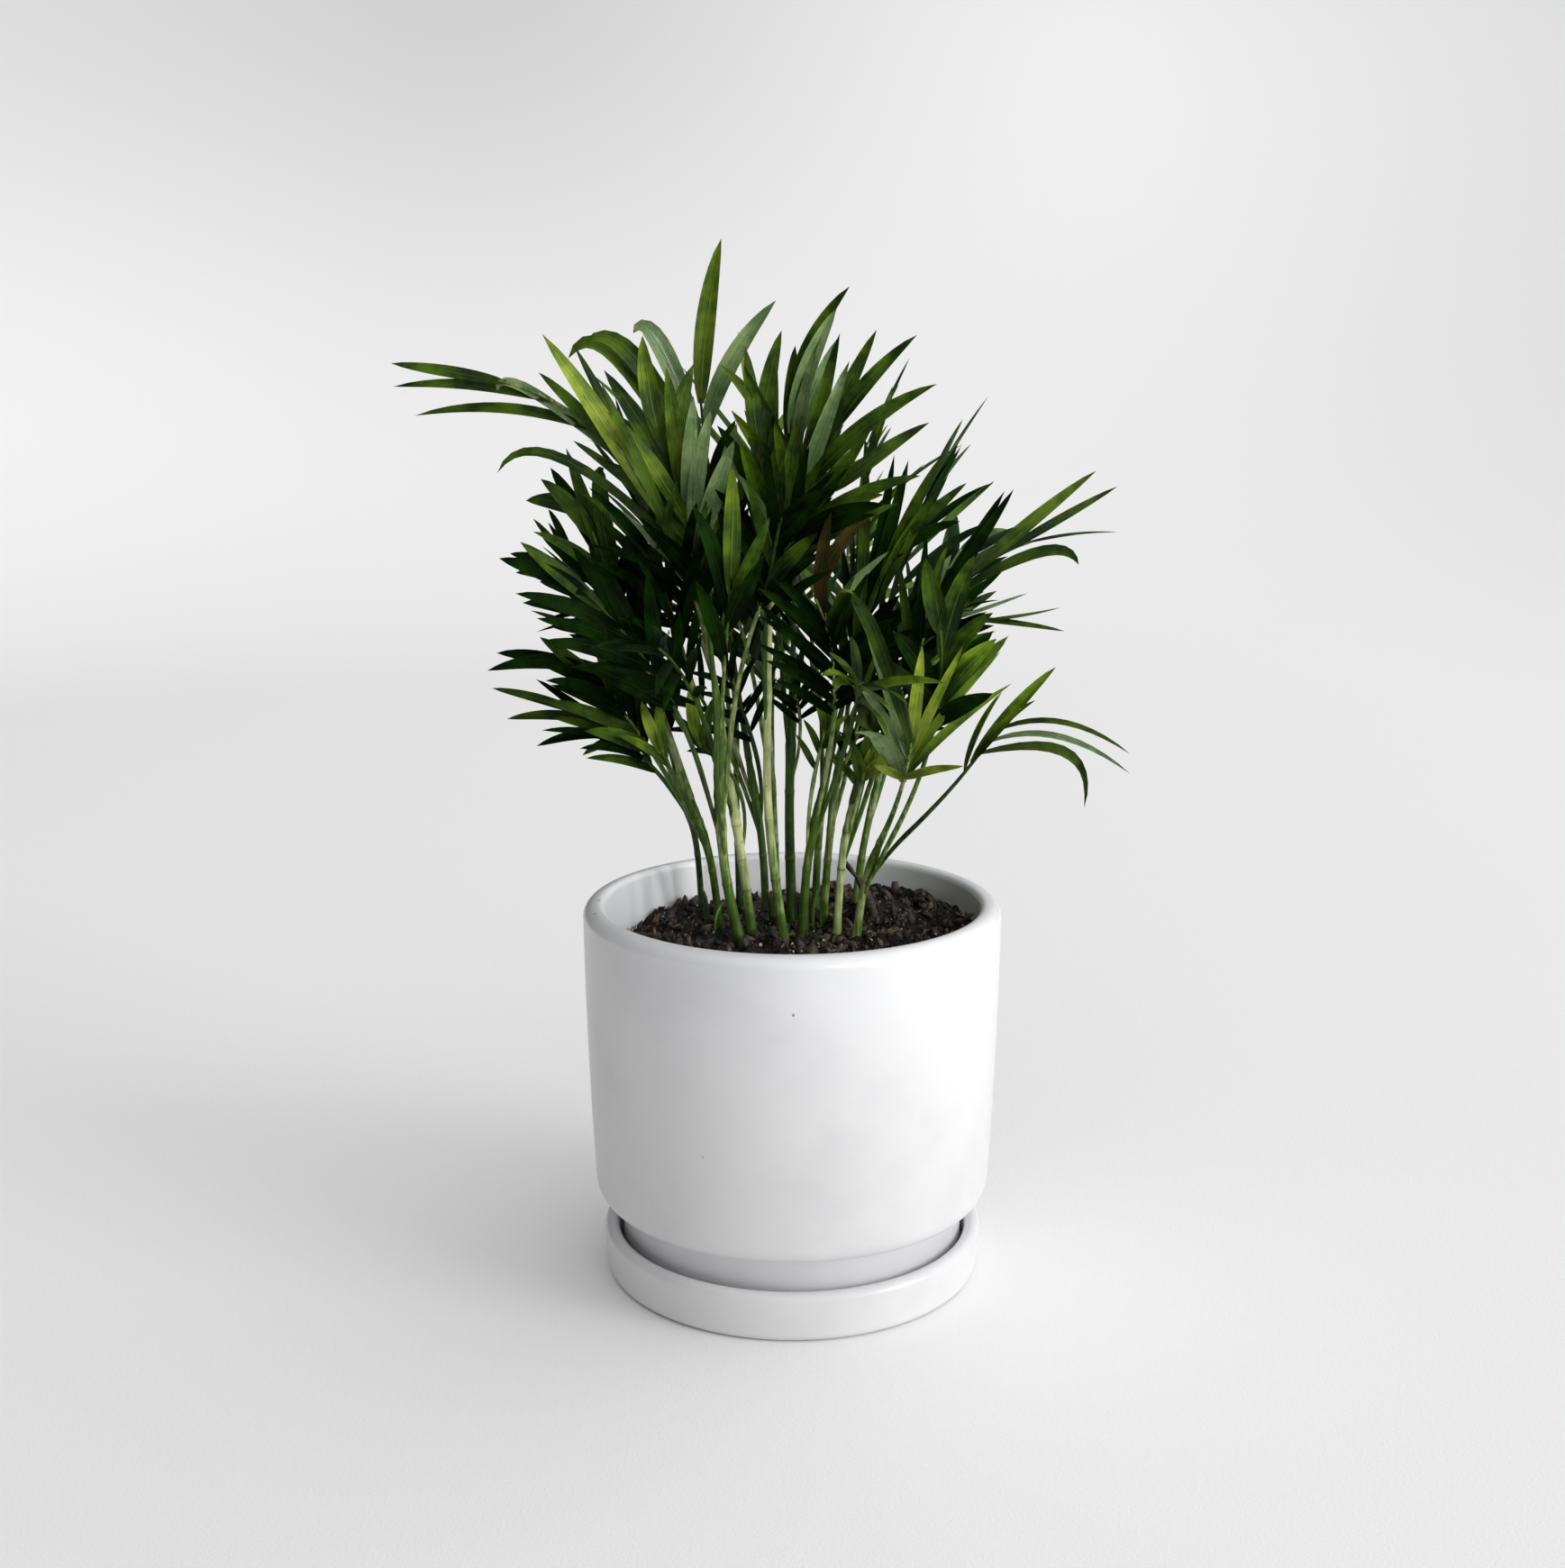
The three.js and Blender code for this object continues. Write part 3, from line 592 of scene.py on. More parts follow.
class Hue(Enum):
    """Finishes of everything but the leaflets."""

    GLAZE = Glaze("white_glaze", (0.0, 0.0))
    # the pot takes the glaze's painted light in full, the saucer none
    POT = Glaze("white_pot_glaze", (1.0, 1.0))
    PEAT = Peat()
    BARK = Crumb("bark_crumb", (0.0018, 0.0013, 0.001), (0.095, 0.060, 0.038))
    WOOD = Crumb("wood_crumb", (0.016, 0.010, 0.007), (0.240, 0.150, 0.090))
    GRIT = Crumb("pale_grit", (0.28, 0.22, 0.16), (0.72, 0.66, 0.56))
    STEM = Stem()
    PAPER = Paper()


# ---------------------------------------------------------------- lines


def blend(start: float, end: float, share: float) -> float:
    """A number between two others, by share."""
    return start + (end - start) * share


class Stream:
    """A repeatable row of numbers from 0 to 1."""

    FACTOR = 16807
    LIMIT = 2147483647

    def __init__(self, seed: int) -> None:
        """Start the row at a seed."""
        self.state = seed

    def draw(self, low: float = 0.0, high: float = 1.0) -> float:
        """Give the next number, between low and high."""
        self.state = (self.state * self.FACTOR) % self.LIMIT
        return blend(low, high, self.state / self.LIMIT)


class Path:
    """A smooth line that is read at a share of its length."""

    STEPS = 80
    STRIDE = 0.01

    def __init__(self, rule: Callable[[float], Vector]) -> None:
        """Walk the line once and note how far each step gets.

        Args:
            rule: gives the point for a parameter from 0 to 1.
        """
        self.points = [rule(k / self.STEPS) for k in range(self.STEPS + 1)]
        self.reach = [0.0]
        for before, after in pairwise(self.points):
            self.reach.append(self.reach[-1] + (after - before).length)

    @classmethod
    def arched(cls, start: Vector, knee: Vector, end: Vector) -> "Path":
        """An arch.

        Args:
            start: its first point.
            knee: the point that it leans towards.
            end: its last point.

        Returns:
            The line.
        """

        def rule(t: float) -> Vector:
            """The point at a parameter."""
            return start * (1 - t) ** 2 + knee * (2 * t * (1 - t)) + end * t**2

        return cls(rule)

    @classmethod
    def through(cls, first: Vector, second: Vector, third: Vector) -> "Path":
        """A smooth line through three points, with even bends on uneven spans.

        Args:
            first: its first point.
            second: a point on it.
            third: its last point.

        Returns:
            The line.
        """
        points = [first * 2 - second, first, second, third, third * 2 - second]

        def rule(t: float) -> Vector:
            """The point at a parameter, by the way the line leaves one point and meets the next.

            Args:
                t: the parameter.

            Returns:
                The point.
            """
            span = 0 if t < 0.5 else 1
            share = t * 2 - span
            a, b, c, d = points[span : span + 4]
            gaps = [math.sqrt((q - p).length) for p, q in ((a, b), (b, c), (c, d))]
            leave = (b - a) / gaps[0] - (c - a) / (gaps[0] + gaps[1]) + (c - b) / gaps[1]
            meet = (c - b) / gaps[1] - (d - b) / (gaps[1] + gaps[2]) + (d - c) / gaps[2]
            leave, meet = leave * gaps[1], meet * gaps[1]
            bend = (c - b) * 3 - leave * 2 - meet
            rest = (b - c) * 2 + leave + meet
            return b + leave * share + bend * share**2 + rest * share**3

        return cls(rule)

    @property
    def length(self) -> float:
        """The line's whole length."""
        return self.reach[-1]

    def at(self, share: float) -> Vector:
        """Read the line.

        Args:
            share: how far along it, from 0 to 1.

        Returns:
            The point there.
        """
        goal = min(max(share, 0.0), 1.0) * self.length
        k = min(bisect_right(self.reach, goal), self.STEPS) - 1
        span = self.reach[k + 1] - self.reach[k]
        return self.points[k].lerp(self.points[k + 1], (goal - self.reach[k]) / max(span, TINY))

    def heading(self, share: float) -> Vector:
        """The way the line runs at a share of its length."""
        return (self.at(share + self.STRIDE) - self.at(share - self.STRIDE)).normalized()


# ---------------------------------------------------------------- mesh helpers


class Gathering:
    """Many small shapes joined into one mesh."""

    def __init__(self, numbers: Sequence[str] = ()) -> None:
        """Start empty.

        Args:
            numbers: names of the numbers that every point carries.
        """
        self.bm = bmesh.new()
        self.bm.loops.layers.uv.new(UV_NAME)
        for name in numbers:
            self.bm.verts.layers.float.new(name)
        self.scratch = bpy.data.meshes.new("scratch")

    def add(self, shape: bmesh.types.BMesh) -> None:
        """Copy a small shape in."""
        shape.to_mesh(self.scratch)
        self.bm.from_mesh(self.scratch)

    def take(self, shape: bmesh.types.BMesh) -> None:
        """Move a small shape in."""
        self.add(shape)
        shape.free()

    def close(self) -> bmesh.types.BMesh:
        """Drop the scratch mesh and give the whole."""
        bpy.data.meshes.remove(self.scratch)
        return self.bm


def dress(bm: bmesh.types.BMesh, name: str, finish: Tone | Hue) -> bpy.types.Object:
    """Turn a shape into a smooth object with its finish.

    Args:
        bm: the shape, which is used up.
        name: the object's name.
        finish: its material.

    Returns:
        The object.
    """
    for face in bm.faces:
        face.smooth = True
    mesh = bpy.data.meshes.new(name)
    bm.to_mesh(mesh)
    bm.free()
    mesh.materials.append(finish.value.build())
    made = bpy.data.objects.new(name, mesh)
    bpy.context.scene.collection.objects.link(made)
    return made


def settle(
    bm: bmesh.types.BMesh,
    name: str,
    finish: Tone | Hue,
    replaces: Iterable[str] = (),
    weld: float = 0.0,
) -> bpy.types.Object:
    """Turn a shape in millimetres into a finished piece of the object.

    Args:
        bm: the shape, which is used up.
        name: the piece's name.
        finish: its material.
        replaces: nodes that it stands for.
        weld: how near points are to be merged, in millimetres.

    Returns:
        The piece.
    """
    if weld:
        bmesh.ops.remove_doubles(bm, verts=bm.verts, dist=weld)
    bmesh.ops.scale(bm, vec=(MM, MM, MM), verts=bm.verts)
    piece = dress(bm, name, finish)
    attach(piece, BODY)
    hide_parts(*replaces)
    log.info("%s: %d faces", name, len(piece.data.polygons))
    return piece


def arc(centre: tuple[float, float], radius: float, start: float, end: float, steps: int) -> list[Vector]:
    """Points of an arc in the half plane of a turned shape.

    Args:
        centre: its centre, as distance from the axis and height.
        radius: its radius.
        start: first angle in degrees.
        end: last angle in degrees.
        steps: how many steps between them.

    Returns:
        The points.
    """
    angles = [math.radians(blend(start, end, k / steps)) for k in range(steps + 1)]
    out, up = centre
    return [Vector((out + radius * math.cos(a), 0.0, up + radius * math.sin(a))) for a in angles]


def turn(profile: Sequence[Vector], steps: int, weld: float = WELD) -> bmesh.types.BMesh:
    """Turn a profile about the upright axis. It makes a closed body where it starts and ends on the axis.

    Args:
        profile: its points.
        steps: facets round the axis.
        weld: how near points are to be merged.

    Returns:
        The body.
    """
    bm = bmesh.new()
    verts = [bm.verts.new(point) for point in profile]
    edges = [bm.edges.new(pair) for pair in pairwise(verts)]
    bmesh.ops.spin(
        bm, geom=verts + edges, cent=(0, 0, 0), axis=UP, angle=math.tau, steps=steps, use_merge=True
    )
    bmesh.ops.remove_doubles(bm, verts=bm.verts, dist=weld)
    bmesh.ops.recalc_face_normals(bm, faces=bm.faces)
    return bm


@dataclass
class Ring:
    """One ring of a swept limb, with the numbers that its points carry."""

    centre: Vector
    heading: Vector
    radius: float
    numbers: dict[str, float] = field(default_factory=dict)


def sweep(rings: Sequence[Ring], sides: int) -> bmesh.types.BMesh:
    """Sweep a closed limb over rings.

    Args:
        rings: its rings, from foot to tip.
        sides: points round each.

    Returns:
        The limb.
    """
    bm = bmesh.new()
    layers = {name: bm.verts.layers.float.new(name) for name in rings[0].numbers}
    across = Vector((0, 1, 0))
    places = []
    for ring in rings:
        beside = across.cross(ring.heading).normalized()
        across = ring.heading.cross(beside).normalized()
        turned = Matrix((beside, across, ring.heading)).transposed().to_4x4()
        places.append(Matrix.Translation(ring.centre) @ turned @ Matrix.Diagonal((ring.radius,) * 3 + (1,)))
    verts = bmesh.ops.create_circle(bm, segments=sides, radius=1.0, matrix=places[0])["verts"]
    edges = list(bm.edges)
    ends = [edges]
    _mark(verts, layers, rings[0])
    for k, (before, after) in enumerate(pairwise(places)):
        made = bmesh.ops.extrude_edge_only(bm, edges=edges)["geom"]
        verts = [part for part in made if isinstance(part, bmesh.types.BMVert)]
        fresh = set(verts)
        edges = [e for e in made if isinstance(e, bmesh.types.BMEdge) and fresh.issuperset(e.verts)]
        bmesh.ops.transform(bm, matrix=after @ before.inverted(), verts=verts)
        _mark(verts, layers, rings[k + 1])
    ends.append(edges)
    for end in ends:
        bmesh.ops.contextual_create(bm, geom=end)
    bmesh.ops.recalc_face_normals(bm, faces=bm.faces)
    return bm


def _mark(verts: Iterable[bmesh.types.BMVert], layers: dict[str, Any], ring: Ring) -> None:
    """Write a ring's numbers on its points.

    Args:
        verts: the points.
        layers: where each number goes.
        ring: the ring.
    """
    for name, layer in layers.items():
        for vert in verts:
            vert[layer] = ring.numbers[name]


# ---------------------------------------------------------------- pot, saucer and soil


@dataclass
class Saucer:
    """The shallow dish that the pot stands in."""

    radius: float = 74.0
    foot_radius: float = 72.9
    height: float = 19.1
    floor: float = 5.5
    inside: float = 68.0
    edge: float = 3.5
    lip: float = 3.0
    fillet: float = 2.0
    facets: int = 144

    def build(self) -> bpy.types.Object:
        """Turn the dish and dress it.

        Returns:
            The piece.
        """
        inner = self.radius - self.inside - self.lip
        profile = [
            Vector((0, 0, 0)),
            *arc((self.foot_radius - self.edge, self.edge), self.edge, -90, 0, 6),
            *arc((self.radius - self.lip, self.height - self.lip), self.lip, 0, 90, 8),
            *arc((self.inside + inner, self.height - inner), inner, 90, 180, 8),
            *arc((self.inside - self.fillet, self.floor + self.fillet), self.fillet, 0, -90, 5),
            Vector((0, 0, self.floor)),
        ]
        return settle(turn(profile, self.facets), "saucer_glazed", Hue.GLAZE, ["saucer"])


@dataclass
class Pot:
    """The round pot, with a narrow foot under a rounded shoulder."""

    height: float = 147.3
    radius: float = 80.0
    wall: float = 8.0
    bulge: tuple[tuple[float, float], ...] = ((78.2, 66), (79.2, 95.0), (79.75, 120))
    waist: float = 76.8
    shoulder: float = 30.5
    corner: float = 8.0
    foot_radius: float = 66.5
    foot_edge: float = 2.0
    outer_lip: float = 5.0
    inner_lip: float = 2.5
    under: float = 5.8
    floor: float = 8.2
    bend: float = 9.0
    fillet: float = 3.0
    easing: float = 2.0
    ledge: float = 3.0
    facets: int = 160

    def inside(self) -> list[Vector]:
        """The inner outline, from under the lip down to the middle of the floor.

        Returns:
            Its points.
        """
        bottom = self.under + self.floor
        narrow, wide = self.foot_radius - self.wall, self.waist - self.wall + self.easing
        return [
            *arc((wide - self.bend, self.shoulder + self.wall + self.bend), self.bend, 0, -60, 6),
            Vector((narrow, 0, self.shoulder + self.ledge)),
            *arc((narrow - self.fillet, bottom + self.fillet), self.fillet, 0, -90, 4),
            Vector((0, 0, bottom)),
        ]

    def build(self) -> bpy.types.Object:
        """Turn the pot and dress it.

        Returns:
            The piece.
        """
        inner = self.radius - self.wall + self.inner_lip
        profile = [
            Vector((0, 0, self.under)),
            *arc((self.foot_radius - self.foot_edge, self.under + self.foot_edge), self.foot_edge, -90, 0, 5),
            Vector((self.foot_radius, 0, self.shoulder)),
            *arc((self.waist - self.corner, self.shoulder + self.corner), self.corner, -90, 0, 10),
            *(Vector((out, 0, up)) for out, up in self.bulge),
            *arc((self.radius - self.outer_lip, self.height - self.outer_lip), self.outer_lip, 0, 90, 10),
            *arc((inner, self.height - self.inner_lip), self.inner_lip, 90, 180, 8),
            *self.inside(),
        ]
        return settle(turn(profile, self.facets), "pot_glazed", Hue.POT, ["pot"])


@dataclass(frozen=True)
class Bits:
    """A kind of loose bits: their smallest and largest size, how flat they are and how high they lie."""

    name: str
    hue: Hue
    count: int
    small: float
    large: float
    flat: float
    lift: float


@dataclass
class Soil:
    """Potting soil with loose bits on it."""

    rim: float = 131.5
    mound: float = 4.5
    lump: float = 1.3
    edge: float = 71.7
    depth: float = 12.0
    facets: int = 200
    rings: int = 60
    kinds: tuple[Bits, ...] = (
        Bits("soil_crumbs", Hue.BARK, 3000, 0.45, 3.4, 0.42, 0.0),
        Bits("soil_splinters", Hue.WOOD, 420, 0.45, 2.8, 0.28, 0.3),
        Bits("soil_grit", Hue.GRIT, 620, 0.22, 0.9, 0.8, 0.75),
    )
    few_large: float = 2.3
    bit_length: tuple[float, float] = (0.6, 1.4)
    bit_width: tuple[float, float] = (0.4, 0.9)
    bit_rough: tuple[float, float] = (0.5, 1.35)
    bit_rise: float = 0.25
    seed: int = 7
    wall: float = 72.0
    strewn: float = 69.0
    hill: Triple = (31.0, 24.0, 8.0)
    hill_spread: float = 110.0
    bank: float = 8.5
    bank_side: tuple[float, float] = (0.85, 0.53)
    coarse: float = 5.5
    fine: float = 1.2

    def height(self, x: float, y: float) -> float:
        """A low mound with lumps that fade out at the wall.

        Args:
            x: place across.
            y: place away.

        Returns:
            The soil's height there.
        """
        reach = min(1.0, math.hypot(x, y) / self.wall)
        lumps = math.sin(x * 0.21 + 1.3) * math.cos(y * 0.17) + 0.6 * math.sin(x * 0.37 - y * 0.29)
        return self.rim + (self.mound + self.lump * lumps) * (1 - reach * reach)

    def _rough(self, x: float, y: float) -> float:
        """The mound with its roughness, a bank at one side and a small hill.

        Args:
            x: place across.
            y: place away.

        Returns:
            The bed's height there.
        """
        spot = Vector((x, y, 3.0))
        coarse = noise.turbulence(spot * 0.13, 4, False)
        fine = noise.noise(spot * 0.9)
        towards_x, towards_y = self.bank_side
        bank = self.bank * max(0.0, (towards_x * x + towards_y * y) / self.wall) ** 1.5
        mid_x, mid_y, top = self.hill
        hill = top * math.exp(-((x - mid_x) ** 2 + (y - mid_y) ** 2) / self.hill_spread)
        return self.height(x, y) + self.coarse * (coarse - 0.75) + self.fine * fine + bank + hill

    def bed(self) -> bpy.types.Object:
        """Make the soil's body, rough on top.

        Returns:
            The piece.
        """
        base = self.rim - self.depth
        top = [Vector((self.edge * k / self.rings, 0, self.rim)) for k in range(self.rings, -1, -1)]
        bm = turn([Vector((0, 0, base)), Vector((self.edge, 0, base)), *top], self.facets)
        for vert in bm.verts:
            if vert.co.z > base + 1:
                vert.co.z = self._rough(vert.co.x, vert.co.y)
        return settle(bm, "soil_bed", Hue.PEAT, ["soil"])

    def scatter(self, bits: Bits, seed: int) -> bpy.types.Object:
        """Strew loose bits over the bed.

        Args:
            bits: their kind.
            seed: seed of the draws.

        Returns:
            The piece.
        """
        whole, stream = Gathering(), Stream(seed)
        for _ in range(bits.count):
            away, around = self.strewn * math.sqrt(stream.draw()), stream.draw(0, math.tau)
            x, y = away * math.cos(around), away * math.sin(around)
            size = bits.small + (bits.large - bits.small) * stream.draw() ** self.few_large
            length, width = stream.draw(*self.bit_length), stream.draw(*self.bit_width)
            tilt = Quaternion([stream.draw(-1, 1) for _ in range(4)]).normalized()
            bit = bmesh.new()
            bmesh.ops.create_icosphere(bit, subdivisions=1, radius=1.0)
            for vert in bit.verts:
                vert.co *= stream.draw(*self.bit_rough)
            spot = Matrix.Translation((x, y, self._rough(x, y) + size * self.bit_rise + bits.lift))
            stretch = Matrix.Diagonal((size * length, size * width, size * bits.flat, 1))
            bmesh.ops.transform(bit, matrix=spot @ tilt.to_matrix().to_4x4() @ stretch, verts=bit.verts)
            whole.take(bit)
        return settle(whole.close(), bits.name, bits.hue)

    def build(self) -> None:
        """Make the bed and everything on it."""
        self.bed()
        for k, bits in enumerate(self.kinds):
            self.scatter(bits, self.seed + k)


@dataclass
class Litter:
    """A leaning bit of bark and a few short shoots between the canes."""

    soil: Soil
    bark: tuple[tuple[Triple, float], ...] = (
        ((33, 12, 133), 1.9), ((31, 13, 140), 2.3), ((29, 12, 146), 1.5), ((27, 13, 150), 1.7),
        ((25, 11, 153), 0.9), ((22, 12, 157), 1.1), ((20.5, 12, 159), 0.5),
    )
    bark_sides: int = 7
    bark_rough: float = 1.1
    seed: int = 4
    # x, y, lean, height, radius and paleness of each shoot
    shoots: tuple[tuple[float, ...], ...] = (
        (-33, 8, -1, 15, 1.2, 0.05), (-30, 6, 2, 9, 0.6, 0.6), (-8, 12, -1, 12, 1.0, 0.1),
        (8, 6, 1, 12, 0.7, 0.4),
    )
    shoot_sides: int = 10
    buried: float = 3.0
    steps: int = 8

    def build(self) -> None:
        """Sweep the bark and the shoots."""
        self._bark()
        self._shoots()

    def _bark(self) -> None:
        """Sweep the bit of bark, and make it uneven."""
        spots = [(Vector(spot), thick) for spot, thick in self.bark]
        heading = (spots[-1][0] - spots[0][0]).normalized()
        noise.seed_set(self.seed)
        stick = sweep([Ring(spot, heading, thick) for spot, thick in spots], self.bark_sides)
        for vert in stick.verts:
            vert.co += noise.noise_vector(vert.co * 0.8) * self.bark_rough
        settle(stick, "bark_stick", Hue.BARK)

    def _shoots(self) -> None:
        """Sweep the shoots, each bent to its tip."""
        whole = Gathering(SKIN)
        for x, y, lean, height, thick, pale in self.shoots:
            foot = Vector((x, y, self.soil.height(x, y) - self.buried))
            knee, tip = Vector((0, 0, height)), Vector((lean * 2, 0, height + self.buried))
            line = Path.arched(foot, foot + knee, foot + tip)
            rings = []
            for k in range(self.steps + 1):
                share = k / self.steps
                radius, numbers = thick * (1 - 0.75 * share**3), {"pale": pale, "scar": share**4}
                rings.append(Ring(line.at(share), line.heading(share), radius, numbers))
            whole.take(sweep(rings, self.shoot_sides))
        settle(whole.close(), "shoots", Hue.STEM)


# ---------------------------------------------------------------- canes


@dataclass
class Cane:
    """One cane: foot on the soil, a place half way up, top, and radius at foot and top.

    The list mouths holds the shares of its length at which stalks leave their sheaths. RIDGE, SWELLING
    and SHEATH each add a share of the radius, over a reach in millimetres.
    """

    BURIED = 6.0
    RIDGE = (0.11, 0.9)
    SWELLING = (0.22, 4.0)
    SWELLS_AT = 5.0
    SHEATH = (0.24, 20.0)
    FULLEST = 0.45
    SCAR = 0.6

    foot: tuple[float, float]
    via: Triple
    top: Triple
    thick: tuple[float, float]
    pale: Triple
    nodes: tuple[float, ...]
    mouths: list[float] = field(default_factory=list)
    path: Path = field(init=False)

    def grow(self, soil: Soil) -> None:
        """Lay the cane's line, from its socket in the soil to its top.

        Args:
            soil: what it stands in.
        """
        x, y = self.foot
        ground = Vector((x, y, soil.height(x, y) - self.BURIED))
        self.path = Path.through(ground, Vector(self.via), Vector(self.top))

    def radius(self, share: float) -> float:
        """Radius at a share of the length, without the nodes."""
        return blend(self.thick[0], self.thick[1], share)

    def paleness(self, share: float) -> float:
        """How pale the skin is at a share of the length."""
        foot, middle, top = self.pale
        return blend(foot, middle, share * 2) if share < 0.5 else blend(middle, top, share * 2 - 1)

    def rings(self, steps: int) -> list[Ring]:
        """Rings with a ridge and a scar at each node, and a fuller sheath under each stalk.

        Args:
            steps: how many steps from foot to top.

        Returns:
            The rings.
        """
        made = []
        (ridge_by, ridge_reach), (foot_by, foot_reach) = self.RIDGE, self.SWELLING
        for k in range(steps + 1):
            share = k / steps
            centre = self.path.at(share)
            near = [centre.z - height for height in self.nodes]
            ridge = sum(ridge_by * math.exp(-((gap / ridge_reach) ** 2)) for gap in near)
            foot = foot_by * math.exp(-(((share * self.path.length - self.SWELLS_AT) / foot_reach) ** 2))
            sheath = sum(self._wrap((mouth - share) * self.path.length) for mouth in self.mouths)
            scar = min(1.0, sum(math.exp(-((gap / self.SCAR) ** 2)) for gap in near))
            radius = self.radius(share) * (1 + ridge + foot + min(sheath, self.FULLEST))
            numbers = {"pale": self.paleness(share), "scar": scar}
            made.append(Ring(centre, self.path.heading(share), radius, numbers))
        return made

    def _wrap(self, below: float) -> float:
        """How much fuller a sheath makes the cane.

        Args:
            below: how far under the sheath's mouth, less than zero above it.

        Returns:
            The share of the radius that it adds.
        """
        full, reach = self.SHEATH
        if below >= reach:
            return 0.0
        return full * (1 - below / reach) ** 2 if below > 0 else full * math.exp(below * 0.8)


# Foot, via and top as in the solids, then the radii at foot and top, how pale the skin is at foot, middle
# and top (0 dark green, 0.5 green, 1 pale yellow-green), and the heights of the nodes.
CANES: dict[str, Cane] = {
    "cane_01": Cane((-36, 35), (-38, 32, 160), (-43, 27, 186), (1.3, 1.1), (0.1, 0.2, 0.3), (157,)),
    "cane_02": Cane((-28, 17), (-32, 13, 160), (-39, 6, 186), (1.6, 1.3), (0.15, 0.35, 0.35), (155, 176)),
    "cane_03": Cane((-19, -13), (-25, -14, 160), (-28, -13, 198), (2.1, 1.5), (0.12, 0.6, 0.45), (157, 190)),
    "cane_04": Cane((-15, 3), (-19, 3, 160), (-25, 2, 200), (2.0, 1.4), (0.1, 0.95, 0.8), (150, 162, 176)),
    "cane_05": Cane((-21, 38), (-22, 37, 172), (-22, 33, 212), (1.3, 1.1), (0.05, 0.1, 0.2), (160,)),
    "cane_06": Cane((-10, 28), (-12, 27, 164), (-17, 24, 198), (1.6, 1.3), (0.1, 0.25, 0.35), (158, 182)),
    "cane_07": Cane((-3, -8), (-9, -9, 184), (-9, -9, 240), (1.9, 1.3), (0.35, 0.75, 0.97), (157, 181)),
    "cane_08": Cane((0, 15), (-1, 15, 180), (0, 13, 222), (2.1, 1.6), (0.05, 0.25, 0.35), (160, 186)),
    "cane_09": Cane((4, 1), (6, 0, 162), (13, -1, 196), (1.8, 1.4), (0.15, 0.4, 0.4), (159, 182)),
    "cane_10": Cane((12, 11), (14, 11, 162), (18, 12, 200), (1.6, 1.3), (0.45, 0.6, 0.45), (160, 172)),
    "cane_11": Cane((17, 2), (19, 1, 160), (23, -1, 186), (1.6, 1.3), (0.65, 0.85, 0.6), (159, 174)),
    "cane_12": Cane((24, -3), (28, -6, 156), (33, -10, 172), (1.6, 1.3), (0.55, 0.6, 0.4), (156, 166)),
    "cane_13": Cane((9, 32), (11, 34, 165), (15, 38, 200), (1.6, 1.3), (0.3, 0.5, 0.5), (160, 180)),
    "cane_14": Cane((-6, 43), (-7, 47, 165), (-9, 53, 196), (1.6, 1.3), (0.4, 0.6, 0.5), (158, 178)),
    "cane_15": Cane((24, 22), (28, 25, 160), (34, 30, 188), (1.6, 1.3), (0.35, 0.55, 0.5), (157, 176)),
}


# ---------------------------------------------------------------- fronds


class Rule:
    """Sizes of the rule that the fronds grow by, in millimetres, degrees and shares."""

    # stalks: where they leave their cane, and their ribs
    STALK_STEP = 0.09
    STALK_LEAN = 0.12
    CLEAR = 0.3
    RIB_RADIUS = 1.4
    RIB_TAPER = 0.8
    RIB_FALL = 0.8
    SLIM = 0.86
    RIB_STEPS = 24
    ROOT_STEPS = 8
    ROOT_RADIUS = 0.6
    ROOT_BELOW = 17.0
    FREE_ABOVE = 15.0
    SUNK = 2.5
    COLLAR = (0.9, 0.25, 12)
    MOTTLE = (0.26, 1.7)
    # leaflets that crown a rib
    CROWN_AT = 0.985
    CROWN_TWIST = (-0.45, 0.45)
    CROWN_FOLD = (0.1, 0.45)
    CROWN_WIDTH = (0.95, 1.1)
    DEEPER = 0.7
    DEEP_COUNT = 3
    ARCH = 1.3
    # leaflets in pairs down the rib
    PAIR_ANGLE = (-6, 6)
    PAIR_TWIST = (-0.5, 0.5)
    PAIR_FOLD = (0.1, 0.5)
    PAIR_WIDTH = (0.82, 1.05)
    PAIR_LENGTH = (0.8, 1.14)
    FULLNESS = (0.78, 0.3)
    FULL_SPAN = (0.15, 0.8)
    LIFT = (-0.12, 0.42)
    DROOP = 0.16
    DROOP_DRAW = (0.5, 1.6)
    SWING = 0.5
    LONGER = 1.18
    CLOSER = 0.85
    # all leaflets
    WIDE = 5.1
    BOW = 0.5
    GAP = 0.05
    FINER = 1.55
    SEED = 41
    TURNS = (0.0, 0.2, -0.2, 0.4, -0.4, 0.65, -0.65)
    SHRINKS = (1.0, 0.8)
    WELD = 0.001
    # middle and reach of the crown's heart, where leaflets take painted shade, and where on a leaflet it is
    # told
    HEART = ((-14.0, 12.0, 254.0), (70.0, 58.0, 42.0))
    HEART_AT = 0.45


@dataclass
class Leaflet:
    """The line of one leaflet, and how its blade lies on it.

    It leaves the rib, which runs along, by its heading, with its upper side up. The bow says how far out
    on that heading its knee lies, as a share of its length.
    """

    root: Vector
    tip: Vector
    heading: Vector
    along: Vector
    up: Vector
    bow: float
    width: float
    twist: float
    fold: float
    tone: Tone

    def turned(self, angle: float, size: float) -> "Leaflet":
        """Turn the leaflet about the rib and scale it.

        Args:
            angle: the turn.
            size: the scale.

        Returns:
            The new leaflet.
        """
        spin = Quaternion(self.along, angle)
        tip = self.root + spin @ ((self.tip - self.root) * size)
        return replace(self, tip=tip, heading=spin @ self.heading, up=spin @ self.up)


